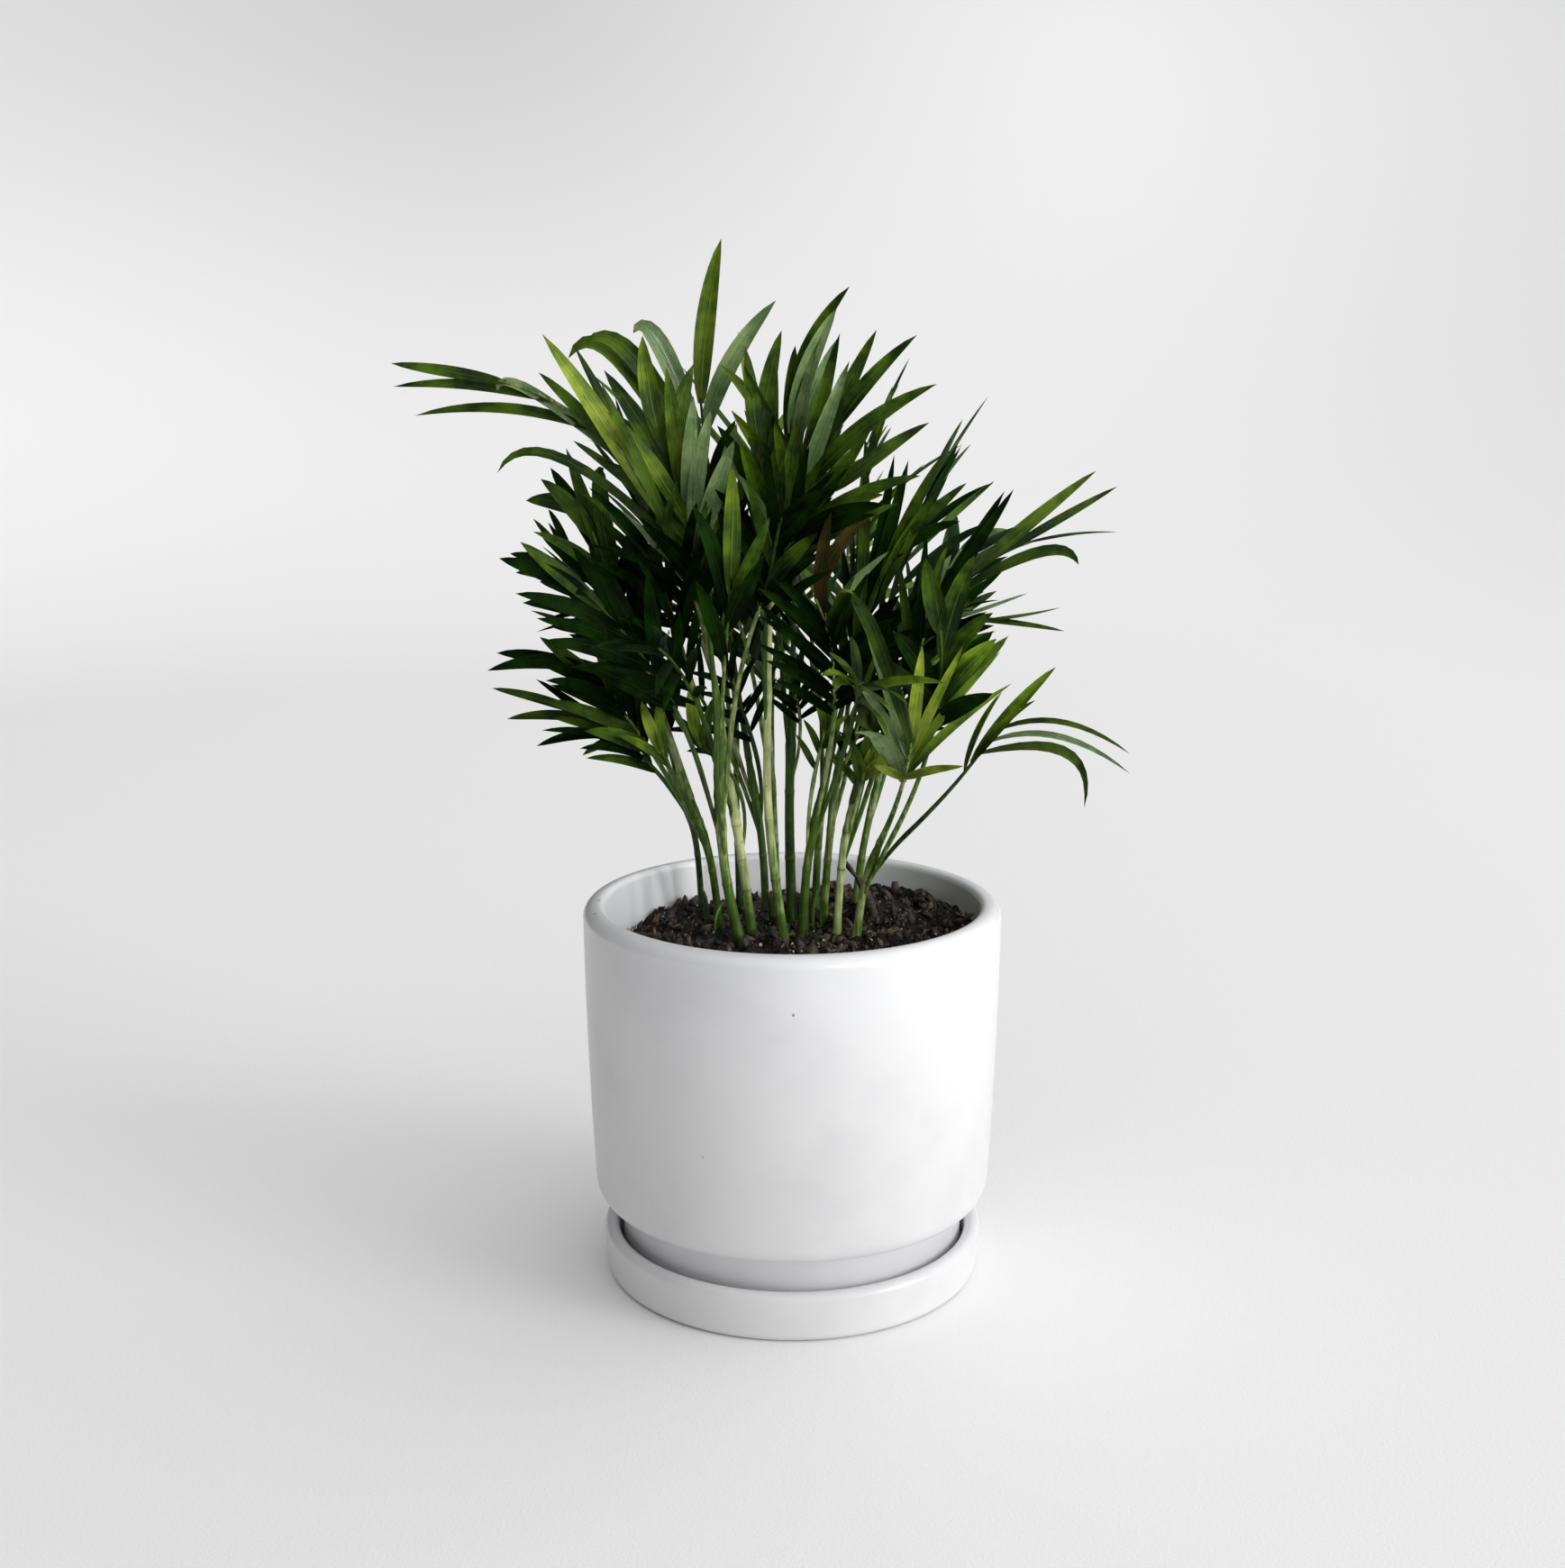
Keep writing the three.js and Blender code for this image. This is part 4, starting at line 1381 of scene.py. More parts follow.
class Cutter:
    """Cuts leaflets out of one small grid that is bent over each leaflet's line."""

    ACROSS = 4
    ALONG = 11
    BULGE = 0.12

    def __init__(self) -> None:
        """Make the flat grid and note each point's place on it."""
        self.bm = bmesh.new()
        self.bm.loops.layers.uv.new(UV_NAME)
        bmesh.ops.create_grid(
            self.bm, x_segments=self.ACROSS, y_segments=self.ALONG, size=0.5, calc_uvs=True
        )
        self.flat = [(vert.co.x * 2, round((vert.co.y + 0.5) * self.ALONG)) for vert in self.bm.verts]

    @staticmethod
    def fullness(share: float) -> float:
        """Width at a share of the leaflet's length, over its widest."""
        return (share + 0.035) ** 0.62 * (1 - share) ** 0.74 / 0.415

    def bend(self, leaf: Leaflet) -> BVHTree:
        """Lay the grid over a leaflet's line.

        Args:
            leaf: the leaflet.

        Returns:
            A tree of its faces, to find what it touches.
        """
        knee = leaf.root + leaf.heading * ((leaf.tip - leaf.root).length * leaf.bow)
        rows = []
        for k in range(self.ALONG + 1):
            t = k / self.ALONG
            spot = leaf.root * (1 - t) ** 2 + knee * (2 * t * (1 - t)) + leaf.tip * t**2
            along = ((knee - leaf.root) * (1 - t) + (leaf.tip - knee) * t).normalized()
            up = Quaternion(along, leaf.twist * t) @ leaf.up
            side = up.cross(along).normalized()
            rows.append((spot, side, along.cross(side), leaf.width / 2 * self.fullness(t)))
        for vert, (out, k) in zip(self.bm.verts, self.flat):
            spot, side, top, half = rows[k]
            lift = half * (leaf.fold * abs(out) - self.BULGE * math.cos(math.pi * out))
            vert.co = spot + side * (out * half) + top * lift
        return BVHTree.FromBMesh(self.bm)


@dataclass
class Frond:
    """One frond, told as in the solids.

    Its rib rises from its cane and ends at rib, with the leaflets' upper side to face. The tips of crown
    may each add a bow, and how broad the leaflet is. Pairs stand from bare on, open by two angles.
    """

    cane: str
    rib: Triple
    rise: float
    face: Triple
    crown: tuple[tuple[float, ...], ...] = ()
    tones: tuple[Tone, ...] = (Tone.GREEN,)
    pairs: int = 0
    bare: float = 0.4
    leaf: float = 34.0
    open: tuple[float, float] = (48.0, 30.0)
    sway: tuple[float, float] = (0.0, 0.0)
    round: float = 0.0
    gap: float = Rule.GAP
    wide: float = Rule.WIDE
    finer: float = Rule.FINER
    pale: tuple[float, float] = (0.42, 0.36)
    body: tuple[Tone, ...] = (Tone.GREEN, Tone.DEEP)
    order: int = 0
    path: Path = field(init=False)

    def grow(self, cane: Cane, order: int) -> None:
        """Lay the rib's line from its cane.

        Args:
            cane: the cane that carries it.
            order: how many fronds stand over it on that cane.
        """
        self.order = order
        share = 1 - Rule.STALK_STEP * order
        axis, spot = cane.path.heading(share), cane.path.at(share)
        if order:
            angle = math.radians(self.round)
            outward = Vector((math.cos(angle), math.sin(angle), 0))
            outward = (outward - axis * outward.dot(axis)).normalized()
            spot = spot + outward * (cane.radius(share) + Rule.RIB_RADIUS + 2 * Rule.CLEAR)
            axis = (axis + outward * Rule.STALK_LEAN).normalized()
        knee = spot + axis * self.rise + Vector((*self.sway, 0))
        self.path = Path.arched(spot, knee, Vector(self.rib))

    @staticmethod
    def radius(share: float) -> float:
        """The rib's radius at a share of its length."""
        return Rule.SLIM * (Rule.RIB_RADIUS - Rule.RIB_TAPER * share**Rule.RIB_FALL)

    def stalk(self, cane: Cane) -> list[Ring]:
        """Rings of the stalk and rib, from inside the cane's sheath to the rib's end.

        Args:
            cane: the cane that carries it.

        Returns:
            The rings.
        """
        made, low = [], 0.0
        mottle, spread = Rule.MOTTLE
        foot_pale, tip_pale = (share + mottle * math.sin(spread * self.rib[0]) for share in self.pale)
        plain = {"pale": foot_pale, "scar": 0.0}
        filled, swell, fade = Rule.COLLAR
        if self.order:
            low = Rule.FREE_ABOVE / self.path.length
            foot = cane.path.at(1 - Rule.STALK_STEP * self.order - Rule.ROOT_BELOW / cane.path.length)
            free, way = self.path.at(low), self.path.heading(low)
            root = Path.arched(foot, free - way * ((free - foot).length / 2), free)
            for k in range(Rule.ROOT_STEPS):
                t = k / Rule.ROOT_STEPS
                radius = blend(Rule.ROOT_RADIUS, self.radius(low), t)
                made.append(Ring(root.at(t), root.heading(t), radius, plain))
        else:
            axis = self.path.heading(0)
            made.append(Ring(self.path.at(0) - axis * Rule.SUNK, axis, filled * cane.thick[1], plain))
        for k in range(Rule.RIB_STEPS + 1):
            share = blend(low, 1, k / Rule.RIB_STEPS)
            radius = self.radius(share) * (1.0 if self.order else 1 + swell * math.exp(-share * fade))
            numbers = {"pale": blend(foot_pale, tip_pale, share**0.5), "scar": 0.0}
            made.append(Ring(self.path.at(share), self.path.heading(share), radius, numbers))
        return made

    def _spot(self, share: float) -> tuple[Vector, Vector, Vector, Vector]:
        """Find how a leaflet stands on the rib.

        Args:
            share: how far along the rib.

        Returns:
            Its place, the rib's heading, the side and the upper side.
        """
        along = self.path.heading(share)
        side = Vector(self.face).normalized().cross(along).normalized()
        return self.path.at(share), along, side, along.cross(side)

    def leaflets(self, seed: int) -> list[Leaflet]:
        """All the leaflets, those that crown the rib first.

        Args:
            seed: seed of the draws.

        Returns:
            The leaflets.
        """
        stream, made = Stream(seed), []
        for k, (x, y, z, *own) in enumerate(self.crown):
            down = self.gap * (k + Rule.DEEPER * min(k, Rule.DEEP_COUNT))
            root, along, _, up = self._spot(Rule.CROWN_AT - down)
            tip = Vector((x, y, z))
            heading = ((tip - root).normalized() + along).normalized()
            tone = self.tones[k % len(self.tones)]
            twist, fold = stream.draw(*Rule.CROWN_TWIST), stream.draw(*Rule.CROWN_FOLD)
            width = self.wide * stream.draw(*Rule.CROWN_WIDTH) * (own[1] if own[1:] else 1)
            bow = own[0] * Rule.ARCH if own else Rule.BOW
            made.append(Leaflet(root, tip, heading, along, up, bow, width, twist, fold, tone))
        count = round(2 * self.pairs * self.finer)
        end = Rule.CROWN_AT - self.gap * len(self.crown)
        for k in range(count):
            made.append(self._paired(stream, k, k / max(1, count - 1), end))
        return made

    def _paired(self, stream: Stream, k: int, step: float, end: float) -> Leaflet:
        """One leaflet of the rule, left and right in turn.

        Args:
            stream: the draws.
            k: its number.
            step: how far it is from the first to the last.
            end: where on the rib the last one stands.

        Returns:
            The leaflet.
        """
        root, along, side, up = self._spot(blend(self.bare, end, step))
        hand = 1 if k % 2 == 0 else -1
        angle = math.radians(Rule.CLOSER * blend(*self.open, step) + stream.draw(*Rule.PAIR_ANGLE))
        lift = stream.draw(*Rule.LIFT)
        base, swell = Rule.FULLNESS
        fullness = base + swell * math.sin(math.pi * blend(*Rule.FULL_SPAN, step))
        length = self.leaf * Rule.LONGER * fullness * stream.draw(*Rule.PAIR_LENGTH)
        heading = along * math.cos(angle) + side * (hand * math.sin(angle)) + up * lift
        heading.normalize()
        droop = length * Rule.DROOP * stream.draw(*Rule.DROOP_DRAW)
        outward = Vector((heading.x, heading.y, 0)).normalized()
        tip = root + heading * length + outward * (Rule.SWING * droop) - Vector((0, 0, droop))
        width = self.wide * stream.draw(*Rule.PAIR_WIDTH)
        twist, fold = stream.draw(*Rule.PAIR_TWIST), stream.draw(*Rule.PAIR_FOLD)
        tone = self.body[int(stream.draw(0, len(self.body) - 0.001))]
        # painted shade: a leaflet in the crown's heart takes the next darker copy
        if self._shaded(root.lerp(tip, Rule.HEART_AT)):
            tone = Tone.GREEN if tone is Tone.FRESH else Tone.DEEP
        return Leaflet(root, tip, heading, along, up, Rule.BOW, width, twist, fold, tone)

    @staticmethod
    def _shaded(spot: Vector) -> bool:
        """Whether a place is in the crown's heart, where leaflets take painted shade."""
        middle, reach = Rule.HEART
        return sum(((at - mid) / far) ** 2 for at, mid, far in zip(spot, middle, reach)) < 1


# D is painted shade, F and Y painted light, S a painted sheen; G is the plain green and R dry brown
D, G, F, Y, S, R = Tone.DEEP, Tone.GREEN, Tone.FRESH, Tone.YOUNG, Tone.GREY, Tone.RUST

# Cane, end of the rib, rise of its knee and upper side, then what differs from the frond's own values.
FRONDS: dict[str, Frond] = {
    "left_arch": Frond(
        "cane_04", (-103, -27, 342), 128, (0.1, -1, 0.4), sway=(8, -16), gap=0.06, wide=3.9,
        crown=((-140, -30, 348), (-140, -28, 340), (-133, -27, 330), (-104, -26, 338, 0.9),
               (-89, -28, 345, 0.5, 1.3), (-87, -32, 358, 0.4, 1.9), (-105, -24, 310, 0.8),
               (-77, -26, 355, 0.4, 1.3), (-67, -34, 342)),
        tones=(G, G, G, S, G, Y, G, G, G), pairs=2, bare=0.34, leaf=36, open=(30, 24), body=(G, S),
    ),
    "crown_tip": Frond(
        "cane_06", (-34, 10, 336), 90, (0, -1, 0.1), wide=7.2,
        crown=((-26, 12, 393), (-6, 10, 371), (-58, 2, 359, 0.9), (-75, 0, 356, 0.8), (-82, 4, 350, 0.9)),
        tones=(F, S, S, G, G), pairs=4, bare=0.48, leaf=42, open=(28, 20), body=(G, F, S),
    ),
    "left_high": Frond(
        "cane_03", (-48, -6, 320), 74, (0.2, -1, 0.2), sway=(6, 6), wide=7.2,
        crown=((-54, -6, 358), (-36, -2, 348), (-68, -8, 346)),
        tones=(F, G, G), pairs=4, bare=0.5, leaf=42, open=(26, 18), body=(F, G, F, S),
    ),
    "right_high": Frond(
        "cane_07", (12, -13, 322), 40, (-0.2, -1, 0.3), gap=0.07, pale=(0.97, 0.4), wide=6.2,
        crown=((44, -16, 358), (30, -10, 360), (51, -20, 341), (17, -4, 359), (20, -18, 349)),
        tones=(G, G, G, G, S), pairs=3, bare=0.28, leaf=40, open=(28, 20), body=(G, F, G, S),
    ),
    "right_crest": Frond(
        "cane_08", (-1, 10, 334), 62, (-0.2, -1, 0.2), wide=6.4,
        crown=((21, 10, 376), (16, 6, 368), (1, 14, 355)),
        tones=(G, S, G), pairs=4, bare=0.4, leaf=42, open=(24, 16), body=(G, F, S),
    ),
    "right_sweep": Frond(
        "cane_03", (16, -36, 306), 78, (-0.3, -1, 0.5), sway=(0, -8), round=-30, wide=6,
        crown=((47, -41, 328), (27, -42, 326), (44, -44, 310)),
        pairs=4, bare=0.55, leaf=38, open=(30, 20),
    ),
    "centre_high": Frond(
        "cane_08", (-12, -2, 314), 54, (0.1, -1, 0.1), round=-130, gap=0.06, wide=6.6,
        crown=((-4, 0, 360), (-17, -6, 354), (-6, 6, 350)),
        pairs=3, bare=0.42, leaf=38, open=(24, 14),
    ),
    "right_mid": Frond(
        "cane_09", (43, -12, 288), 84, (-0.4, -1, 0.3), gap=0.07,
        crown=((63, -12, 306), (61, -10, 292), (54, -12, 316), (52, -15, 303), (42, -8, 314),
               (37, -6, 316), (26, -12, 323)),
        tones=(G, D, G, G, D, D, G), pairs=2, bare=0.36, leaf=34, open=(34, 26), body=(D, G),
    ),
    "right_reach": Frond(
        "cane_11", (88, -2, 284), 85, (-0.3, -0.8, 1), sway=(5, 0), gap=0.06, wide=4.8,
        crown=((121, 4, 287, 0.4, 0.5), (120, 2, 304, 0.4, 0.9), (111, -4, 310, 0.4, 1.5),
               (105, -8, 276, 0.8), (82, 4, 303), (79, 8, 302)),
        tones=(G, G, F, G, D, D), pairs=3, bare=0.42, leaf=30, open=(36, 28), body=(G, F, S),
    ),
    "right_wisps": Frond(
        "cane_10", (71, -14, 256), 58, (-0.2, -0.6, 1), sway=(8, 0), wide=2.7,
        crown=((98, -14, 261), (100, -12, 252), (86, -12, 266), (85, -18, 256), (70, -20, 244)),
        tones=(G, G, S, G, D), pairs=3, bare=0.42, leaf=28, open=(34, 24),
    ),
    "low_fan": Frond(
        "cane_12", (42, -42, 216), 22, (0, -1, 0.2), sway=(2, -3), gap=0.045, wide=5.8,
        crown=((14, -52, 268, 1.1), (45, -50, 252, 0.4, 0.85), (24, -56, 263, 0.4, 1.2),
               (60, -46, 252, 0.4, 0.7), (73, -44, 249, 0.4, 0.6), (19, -58, 245),
               (77, -46, 238, 0.4, 0.7), (21, -56, 222, 0.7, 1.3)),
        tones=(G, Y, S, Y, F, S, F, S), pairs=1, bare=0.6, leaf=24, open=(40, 36), body=(S, Y),
    ),
    "low_reach_right": Frond(
        "cane_12", (73, -32, 219), 38, (0, -0.5, 1), sway=(12, -12), round=-30, gap=0.04, wide=4.0,
        crown=((121, -38, 211, 0.4, 0.6), (122, -34, 203, 0.4, 0.6), (106, -32, 190, 0.8),
               (94, -34, 242, 0.4, 1.7)),
        tones=(G, S, G, F), pairs=1, bare=0.72, leaf=34, open=(20, 14), finer=1.0, body=(F, G),
    ),
    "low_tuft": Frond(
        "cane_11", (27, -11, 199), 8, (-0.2, -1, 0.2), round=-70, wide=5.2,
        crown=((36, -16, 215), (28, -14, 215), (42, -18, 210), (22, -14, 211)),
        tones=(Y, F, Y, F),
    ),
    "left_fan_high": Frond(
        "cane_02", (-77, -2, 295), 64, (0.2, -1, 0.2),
        crown=((-98, -2, 299), (-92, -5, 307), (-89, 0, 311), (-83, 0, 318), (-69, -4, 311, 0.8)),
        tones=(G, G, D, G, G), pairs=4, bare=0.44, leaf=35, open=(32, 22), wide=6.2, finer=1.1, body=(D, G),
    ),
    "left_fan_mid": Frond(
        "cane_03", (-75, -24, 268), 46, (0.1, -1, 0.3), round=-165, wide=6.4, finer=1.1,
        crown=((-105, -26, 280), (-97, -28, 286), (-97, -26, 264), (-87, -24, 255)),
        tones=(D, G, D, D), pairs=4, bare=0.42, leaf=37, open=(30, 20), body=(D,),
    ),
    "left_fan_low": Frond(
        "cane_02", (-76, -16, 239), 36, (0.1, -1, 0.5), round=-150,
        crown=((-112, -16, 238), (-109, -12, 244), (-92, -20, 251)),
        tones=(D, D, G), pairs=4, bare=0.42, leaf=35, open=(30, 20), wide=5.8, finer=1.1, body=(D, G),
    ),
    "low_reach_left": Frond(
        "cane_02", (-78, -6, 220), 30, (0.1, -0.9, 0.8), round=165, wide=3.9, finer=1.1,
        crown=((-112, -6, 230), (-107, -4, 218), (-95, -10, 234), (-96, -6, 208), (-78, -14, 206)),
        tones=(G, G, D, D, G), pairs=3, bare=0.4, leaf=30, open=(28, 20), body=(D, G),
    ),
    "left_inner": Frond(
        "cane_04", (-52, -12, 284), 62, (0.3, -1, 0.2), round=-155,
        pairs=6, bare=0.45, leaf=38, open=(34, 18), wide=4.2, finer=1.2, body=(G, D, D),
    ),
    "left_core": Frond(
        "cane_05", (-54, 16, 262), 40, (-0.7, -0.8, 0.3),
        pairs=6, bare=0.36, leaf=36, open=(38, 20), wide=3.6, finer=1.2, body=(D,),
    ),
    "left_skirt": Frond(
        "cane_01", (-66, 20, 232), 34, (-0.3, -1, 0.3),
        pairs=5, bare=0.36, leaf=32, open=(34, 20), finer=1.15, body=(D, G),
    ),
    "front_centre": Frond(
        "cane_03", (-22, -40, 270), 42, (0.2, -1, 0), sway=(0, -8), round=-75, wide=6.6,
        crown=((-21, -46, 314), (-35, -44, 300), (-8, -46, 296)),
        tones=(F, D, G), pairs=2, bare=0.7, leaf=40, open=(24, 14), finer=0.5, body=(D,),
    ),
    "front_spray": Frond(
        "cane_09", (8, -32, 266), 50, (0, -1, 0.3), sway=(0, -6), round=-100,
        crown=((28, -42, 298), (12, -42, 300), (34, -40, 284)),
        tones=(R, R, S), pairs=5, bare=0.4, leaf=36, open=(40, 24), body=(D, G),
    ),
    "right_core": Frond(
        "cane_11", (48, -16, 250), 42, (-0.2, -1, 0.4), round=-30,
        pairs=6, bare=0.38, leaf=36, open=(36, 20), wide=4.2, finer=1.2, body=(D, G),
    ),
    "right_broad": Frond(
        "cane_12", (52, -41, 256), 60, (-0.3, -1, 0.4), sway=(4, -8), round=-65, wide=8.2,
        crown=((46, -46, 282), (63, -46, 283), (75, -44, 271), (71, -48, 254)),
        tones=(G, G, G, F), pairs=2, bare=0.62, leaf=32, open=(34, 26),
    ),
    "front_left": Frond(
        "cane_04", (-46, -60, 252), 48, (-0.3, -1, 0.5), round=-120,
        pairs=5, bare=0.46, leaf=36, open=(34, 18), wide=4.2, finer=1.2, body=(D,),
    ),
    "front_right": Frond(
        "cane_09", (22, -68, 240), 46, (0.2, -1, 0.7), round=-50,
        pairs=4, bare=0.5, leaf=35, open=(34, 20), body=(G, F),
    ),
    "front_up": Frond(
        "cane_07", (-4, -44, 296), 36, (0, -1, 0.3), round=-110,
        pairs=5, bare=0.3, leaf=37, open=(32, 16), wide=4.2, finer=1.2, body=(G, D, D),
    ),
    "centre_core": Frond(
        "cane_10", (22, 22, 264), 42, (1, -0.4, 0.2), round=70,
        pairs=5, bare=0.34, leaf=36, open=(38, 20), wide=3.6, finer=1.2, body=(D,),
    ),
    "left_crest": Frond(
        "cane_06", (-62, 38, 312), 76, (-0.8, -0.3, 0.4), round=165,
        pairs=6, bare=0.48, leaf=40, open=(32, 18), wide=4.9, finer=1.15, body=(G, F),
    ),
    "right_shoulder": Frond(
        "cane_10", (52, 30, 304), 66, (0.8, -0.3, 0.4), round=30,
        pairs=6, bare=0.42, leaf=40, open=(32, 18), wide=4.9, finer=1.15,
    ),
    "back_crest_left": Frond(
        "cane_05", (-48, 66, 314), 66, (-0.9, 0.5, 0.3), round=130,
        pairs=6, bare=0.42, leaf=40, open=(36, 20), wide=4.9, finer=1.15, body=(G, F),
    ),
    "back_crest": Frond(
        "cane_14", (-14, 84, 322), 82, (-0.7, 0.8, 0.3),
        pairs=6, bare=0.45, leaf=42, open=(36, 20), wide=4.9, finer=1.15, body=(G, F),
    ),
    "back_crest_right": Frond(
        "cane_13", (30, 68, 318), 78, (0.9, 0.5, 0.3),
        pairs=6, bare=0.45, leaf=42, open=(36, 20), wide=4.9, finer=1.15, body=(G, F),
    ),
    "back_right": Frond(
        "cane_15", (68, 60, 276), 66, (0.6, 0.6, 0.8),
        pairs=6, bare=0.42, leaf=35, open=(40, 22),
    ),
    "back_low_right": Frond(
        "cane_15", (50, 88, 244), 50, (0.5, 0.6, 0.8), round=55,
        pairs=5, bare=0.4, leaf=33, open=(40, 24),
    ),
    "back_mid": Frond(
        "cane_13", (24, 106, 280), 60, (0.1, 0.9, 0.7), round=80,
        pairs=6, bare=0.4, leaf=35, open=(40, 22), body=(G, D, F),
    ),
    "back_mid_left": Frond(
        "cane_14", (-36, 108, 272), 62, (-0.2, 0.9, 0.7), round=115,
        pairs=6, bare=0.4, leaf=35, open=(40, 22),
    ),
    "back_left": Frond(
        "cane_01", (-88, 60, 268), 70, (-0.7, 0.5, 0.6), round=145,
        pairs=6, bare=0.42, leaf=35, open=(40, 22),
    ),
    "back_low_left": Frond(
        "cane_01", (-64, 86, 244), 48, (-0.6, 0.6, 0.8), round=110,
        pairs=5, bare=0.4, leaf=32, open=(40, 24),
    ),
    "back_skirt": Frond(
        "cane_14", (-4, 112, 248), 44, (0, 0.8, 0.9), round=80,
        pairs=5, bare=0.4, leaf=32, open=(40, 24), body=(G, F),
    ),
    "back_core": Frond(
        "cane_13", (2, 62, 262), 40, (-1, 0.4, 0.2), round=120,
        pairs=5, bare=0.35, leaf=34, open=(40, 22), body=(D, G),
    ),
}

# Short low leaves between the canes, told in the same way, which no solid stands for.
SPRIGS: dict[str, Frond] = {
    "sprig_left": Frond(
        "cane_04", (-34, -6, 208), 14, (0.1, -1, 0.2), round=20, wide=4.6, finer=1.0, pale=(0.7, 0.6),
        crown=((-37, -8, 234), (-28, -9, 226), (-45, -8, 221)), tones=(Y, F, G),
    ),
    "sprig_far_left": Frond(
        "cane_02", (-49, -8, 206), 12, (0.1, -1, 0.3), round=-80, wide=4.4, finer=1.0, pale=(0.7, 0.6),
        crown=((-56, -10, 226), (-49, -10, 229), (-66, -10, 217)), tones=(Y, F, F),
    ),
    "sprig_inner": Frond(
        "cane_06", (-27, 12, 238), 18, (0.2, -1, 0.2), round=-20, wide=3.2, finer=1.0,
        crown=((-34, 8, 258), (-25, 8, 260), (-19, 8, 250)), tones=(D, G, D),
        pairs=4, bare=0.35, leaf=22, open=(46, 30), body=(D, G),
    ),
    "sprig_deep_left": Frond(
        "cane_06", (-44, 6, 240), 26, (0.2, -1, 0.2), round=160, wide=3.0, finer=1.0,
        crown=((-56, 2, 254), (-46, 3, 260), (-36, 3, 258)), tones=(D, D, G),
        pairs=4, bare=0.3, leaf=22, open=(48, 32), body=(D,),
    ),
    "sprig_deep_right": Frond(
        "cane_11", (36, 6, 232), 22, (-0.2, -1, 0.2), round=60, wide=3.0, finer=1.0,
        crown=((48, 2, 242), (40, 2, 250), (31, 3, 248)), tones=(D, G, D),
        pairs=4, bare=0.3, leaf=20, open=(48, 32), body=(D, G),
    ),
    "sprig_middle": Frond(
        "cane_09", (12, -8, 214), 16, (0, -1, 0.3), round=-160, wide=3.0, finer=1.0,
        crown=((7, -11, 232), (16, -11, 234), (21, -11, 221), (4, -10, 219)), tones=(F, G, F, G),
        pairs=1, bare=0.55, leaf=15, open=(44, 34), body=(F, G),
    ),
    "sprig_centre": Frond(
        "cane_08", (1, 4, 226), 14, (0, -1, 0.3), round=-40, wide=3.2, finer=1.0,
        crown=((-5, 1, 246), (5, 0, 248), (12, 0, 236)), tones=(G, D, G),
        pairs=3, bare=0.4, leaf=19, open=(46, 30), body=(D, G),
    ),
    "sprig_right": Frond(
        "cane_10", (27, 4, 214), 16, (0, -1, 0.3), round=-90, wide=3.0, finer=1.0,
        crown=((22, 1, 233), (31, 1, 234), (37, 0, 223)), tones=(D, G, F),
        pairs=3, bare=0.4, leaf=18, open=(46, 30), body=(G, D, F),
    ),
}


LEAVES = FRONDS | SPRIGS


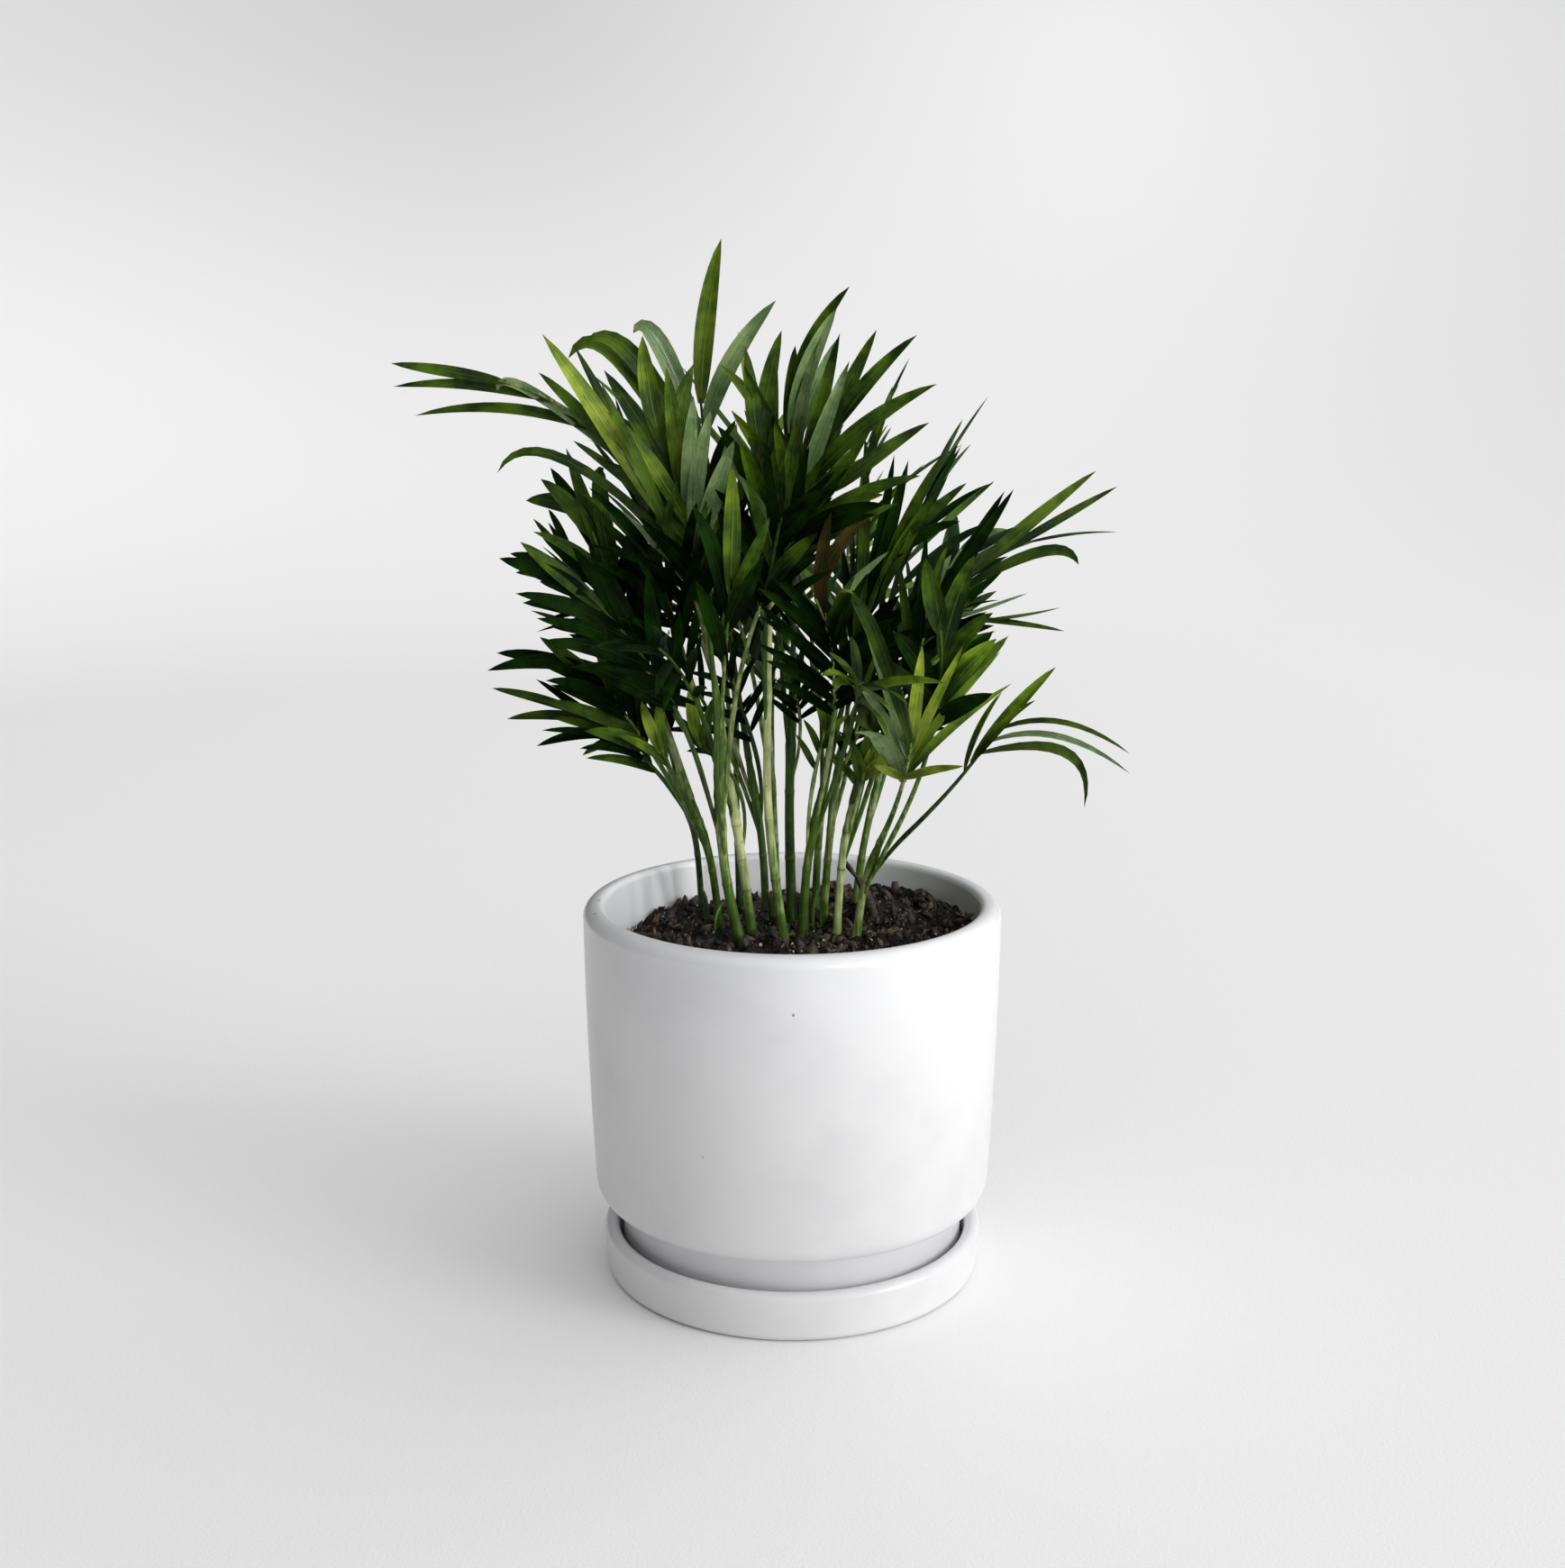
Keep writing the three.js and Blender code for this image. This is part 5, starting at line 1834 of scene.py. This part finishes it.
@dataclass
class Crown:
    """All canes, stalks and leaflets, with trees of what stands already."""

    soil: Soil
    cane_steps: int = 70
    cane_sides: int = 16
    stalk_sides: int = 8
    limbs: dict[str, BVHTree] = field(default_factory=dict)
    settled: list[tuple[str, BVHTree]] = field(default_factory=list)

    def lay_lines(self) -> None:
        """Lay every cane's and every rib's line."""
        carried: dict[str, int] = {}
        for cane in CANES.values():
            cane.grow(self.soil)
        for frond in LEAVES.values():
            order = carried.get(frond.cane, 0)
            carried[frond.cane] = order + 1
            frond.grow(CANES[frond.cane], order)
            if order:
                CANES[frond.cane].mouths.append(1 - Rule.STALK_STEP * order)

    def _sweep_limbs(self, limbs: dict[str, list[Ring]], sides: int) -> bmesh.types.BMesh:
        """Sweep limbs into one shape, and keep a tree of each.

        Args:
            limbs: the rings of each, by its name.
            sides: points round each ring.

        Returns:
            The shape.
        """
        whole = Gathering(SKIN)
        for name, rings in limbs.items():
            shape = sweep(rings, sides)
            self.limbs[name] = BVHTree.FromBMesh(shape)
            whole.take(shape)
        return whole.close()

    def build_canes(self) -> None:
        """Sweep the canes, with the sheaths that wrap them."""
        rings = {name: cane.rings(self.cane_steps) for name, cane in CANES.items()}
        settle(self._sweep_limbs(rings, self.cane_sides), "canes", Hue.STEM, list(CANES))

    def build_stalks(self) -> None:
        """Sweep the stalks and ribs."""
        rings = {name: frond.stalk(CANES[frond.cane]) for name, frond in LEAVES.items()}
        nodes = [f"frond_{name}" for name in FRONDS]
        settle(self._sweep_limbs(rings, self.stalk_sides), "stalks", Hue.STEM, nodes)

    def _hits(self, tree: BVHTree, own: str) -> tuple[bool, bool]:
        """Test what a leaflet touches.

        Args:
            tree: the leaflet's faces.
            own: its frond.

        Returns:
            Whether it touches a limb, and if not, whether it touches another frond's leaflet.
        """
        limb = any(other.overlap(tree) for name, other in self.limbs.items() if name != own)
        leaf = not limb and any(other.overlap(tree) for name, other in self.settled if name != own)
        return limb, leaf

    def _place(self, cutter: Cutter, leaf: Leaflet, own: str) -> Leaflet | None:
        """Find a way for a leaflet clear of the limbs, and of other leaflets if it can be.

        Args:
            cutter: bends the grid that is tested.
            leaf: the leaflet as drawn.
            own: its frond.

        Returns:
            The leaflet as it lies, or nothing where no turn frees it.
        """
        second = None
        for size in Rule.SHRINKS:
            for angle in Rule.TURNS:
                tried = leaf.turned(angle, size)
                limb, touching = self._hits(cutter.bend(tried), own)
                if not limb and not touching:
                    return tried
                if not limb and second is None:
                    second = tried
        return second

    def build_leaflets(self) -> None:
        """Grow the leaflets, and join those of a kind."""
        wholes = {tone: Gathering() for tone in Tone}
        stands_for: dict[Tone, set[str]] = {tone: set() for tone in Tone}
        cutter, placed = Cutter(), 0
        for index, (name, frond) in enumerate(LEAVES.items()):
            own = Gathering()
            for leaf in frond.leaflets(Rule.SEED + index):
                found = self._place(cutter, leaf, name)
                if not found:
                    continue
                cutter.bend(found)
                wholes[leaf.tone].add(cutter.bm)
                own.add(cutter.bm)
                placed += 1
                if name in FRONDS:
                    stands_for[leaf.tone].add(f"frond_{name}")
            shape = own.close()
            self.settled.append((name, BVHTree.FromBMesh(shape)))
            shape.free()
        log.info("%d leaflets", placed)
        for tone, whole in wholes.items():
            name = f"leaflets_{tone.name.lower()}"
            settle(whole.close(), name, tone, sorted(stands_for[tone]), weld=Rule.WELD)

    def build(self) -> None:
        """Build the whole crown."""
        self.lay_lines()
        self.build_canes()
        self.build_stalks()
        self.build_leaflets()


# ---------------------------------------------------------------- studio


@dataclass(frozen=True)
class Lamp:
    """A lamp: where it hangs and points, in metres, its power and tint, and its width."""

    name: str
    spot: Triple
    aim: Triple
    power: float
    tint: Colour
    width: float

    def hang(self, light: bpy.types.Light) -> bpy.types.Object:
        """Hang the lamp.

        Args:
            light: what it shines with.

        Returns:
            The lamp.
        """
        light.energy, light.color = self.power, self.tint
        lamp = bpy.data.objects.new(self.name, light)
        lamp.location = self.spot
        lamp.rotation_euler = (Vector(self.aim) - Vector(self.spot)).to_track_quat("-Z", "Y").to_euler()
        bpy.context.scene.collection.objects.link(lamp)
        return lamp


@dataclass
class Studio:
    """Floor, backdrop, light and camera, in metres and degrees."""

    floor: float = 1.6
    bend: float = 3.0
    rise: float = 58.0
    facets: int = 128
    curve: int = 40
    weld: float = 1e-5
    sky: tuple[float, float] = (0.0, 1.22)
    sky_from: float = -0.25
    sky_side: Triple = (0.60, -0.12, 0.79)
    key: Lamp = Lamp("key", (1.76, -0.86, 0.55), (0, 0, 0.1), 1.4, (1.0, 0.99, 0.975), 30.0)
    mouth: Lamp = Lamp("mouth", (0.53, -0.93, 0.66), (-0.02, 0.03, 0.172), 42.0, (0.94, 0.975, 1.0), 0.1)
    cone: float = 9.0
    eye: Triple = (-0.0037, -0.720, 0.341)
    look_down: float = 11.67
    sensor: float = 36.0
    focus: tuple[int, int] = (2150, 1740)
    near: float = 0.01

    def spun(self, name: str, profile: Sequence[Vector]) -> bpy.types.Object:
        """Turn a staged surface out of its profile.

        Args:
            name: its name.
            profile: points from the middle outwards.

        Returns:
            The surface.
        """
        made = dress(turn(profile, self.facets, self.weld), name, Hue.PAPER)
        return made

    def backdrop(self) -> None:
        """A pale floor, and a wall that it runs up into and that keeps no light off."""
        self.spun("floor", [Vector((0, 0, 0)), Vector((self.floor, 0, 0))])
        rising = arc((self.floor, self.bend), self.bend, -90, self.rise - 90, self.curve)
        wall = self.spun("wall", rising)
        wall.visible_diffuse = wall.visible_glossy = wall.visible_shadow = False

    @staticmethod
    def keep_to_plant(lamp: bpy.types.Object) -> None:
        """Let a lamp light the pot and the plant, and not the floor and backdrop.

        Args:
            lamp: the lamp.
        """
        lit = bpy.data.collections.new("lit_by_mouth")
        for thing in bpy.context.scene.objects:
            if thing.type == "MESH" and thing.name not in ("floor", "wall"):
                lit.objects.link(thing)
        lamp.light_linking.receiver_collection = lit

    def sky_light(self) -> None:
        """Pale light from all round, strongest from the right and above."""
        world = bpy.data.worlds.new("pale_sky")
        world.use_nodes = True
        nodes, links = world.node_tree.nodes, world.node_tree.links
        way = nodes.new("ShaderNodeTexCoord")
        lean = nodes.new("ShaderNodeVectorMath")
        lean.operation = "DOT_PRODUCT"
        lean.inputs[1].default_value = self.sky_side
        rise = nodes.new("ShaderNodeMapRange")
        rise.interpolation_type = "SMOOTHSTEP"
        low, high = self.sky
        spread = {"From Min": self.sky_from, "From Max": 1.0, "To Min": low, "To Max": high}
        for name, value in spread.items():
            rise.inputs[name].default_value = value
        links.new(way.outputs["Generated"], lean.inputs[0])
        links.new(lean.outputs["Value"], rise.inputs["Value"])
        links.new(rise.outputs["Result"], nodes["Background"].inputs["Strength"])
        nodes["Background"].inputs["Color"].default_value = (1.0, 1.0, 1.0, 1.0)
        bpy.context.scene.world = world

    def light(self) -> None:
        """A soft key from the right, and a small lamp into the pot's mouth."""
        sun = bpy.data.lights.new(self.key.name, "SUN")
        sun.angle = math.radians(self.key.width)
        self.key.hang(sun)
        beam = bpy.data.lights.new(self.mouth.name, "SPOT")
        beam.spot_size, beam.spot_blend = math.radians(self.cone), 1.0
        beam.shadow_soft_size = self.mouth.width
        self.keep_to_plant(self.mouth.hang(beam))
        bpy.context.scene.view_settings.view_transform = "Standard"

    def camera(self) -> None:
        """Look a little down on the pot from in front."""
        lens = bpy.data.cameras.new("view")
        length, frame = self.focus
        lens.sensor_width = self.sensor
        lens.lens = self.sensor * length / frame
        lens.clip_start = self.near
        camera = bpy.data.objects.new("view", lens)
        camera.location = self.eye
        camera.rotation_euler = (math.radians(90 - self.look_down), 0.0, 0.0)
        bpy.context.scene.collection.objects.link(camera)
        bpy.context.scene.camera = camera

    def build(self) -> None:
        """Set the studio up."""
        self.backdrop()
        self.sky_light()
        self.light()
        self.camera()


def main() -> None:
    """Load the solids and dress them."""
    logging.basicConfig(level=logging.INFO, format="%(name)s %(message)s")
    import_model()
    Saucer().build()
    Pot().build()
    soil = Soil()
    soil.build()
    Litter(soil).build()
    Crown(soil).build()
    Studio().build()
    bpy.context.view_layer.update()


if __name__ == "__main__":
    main()
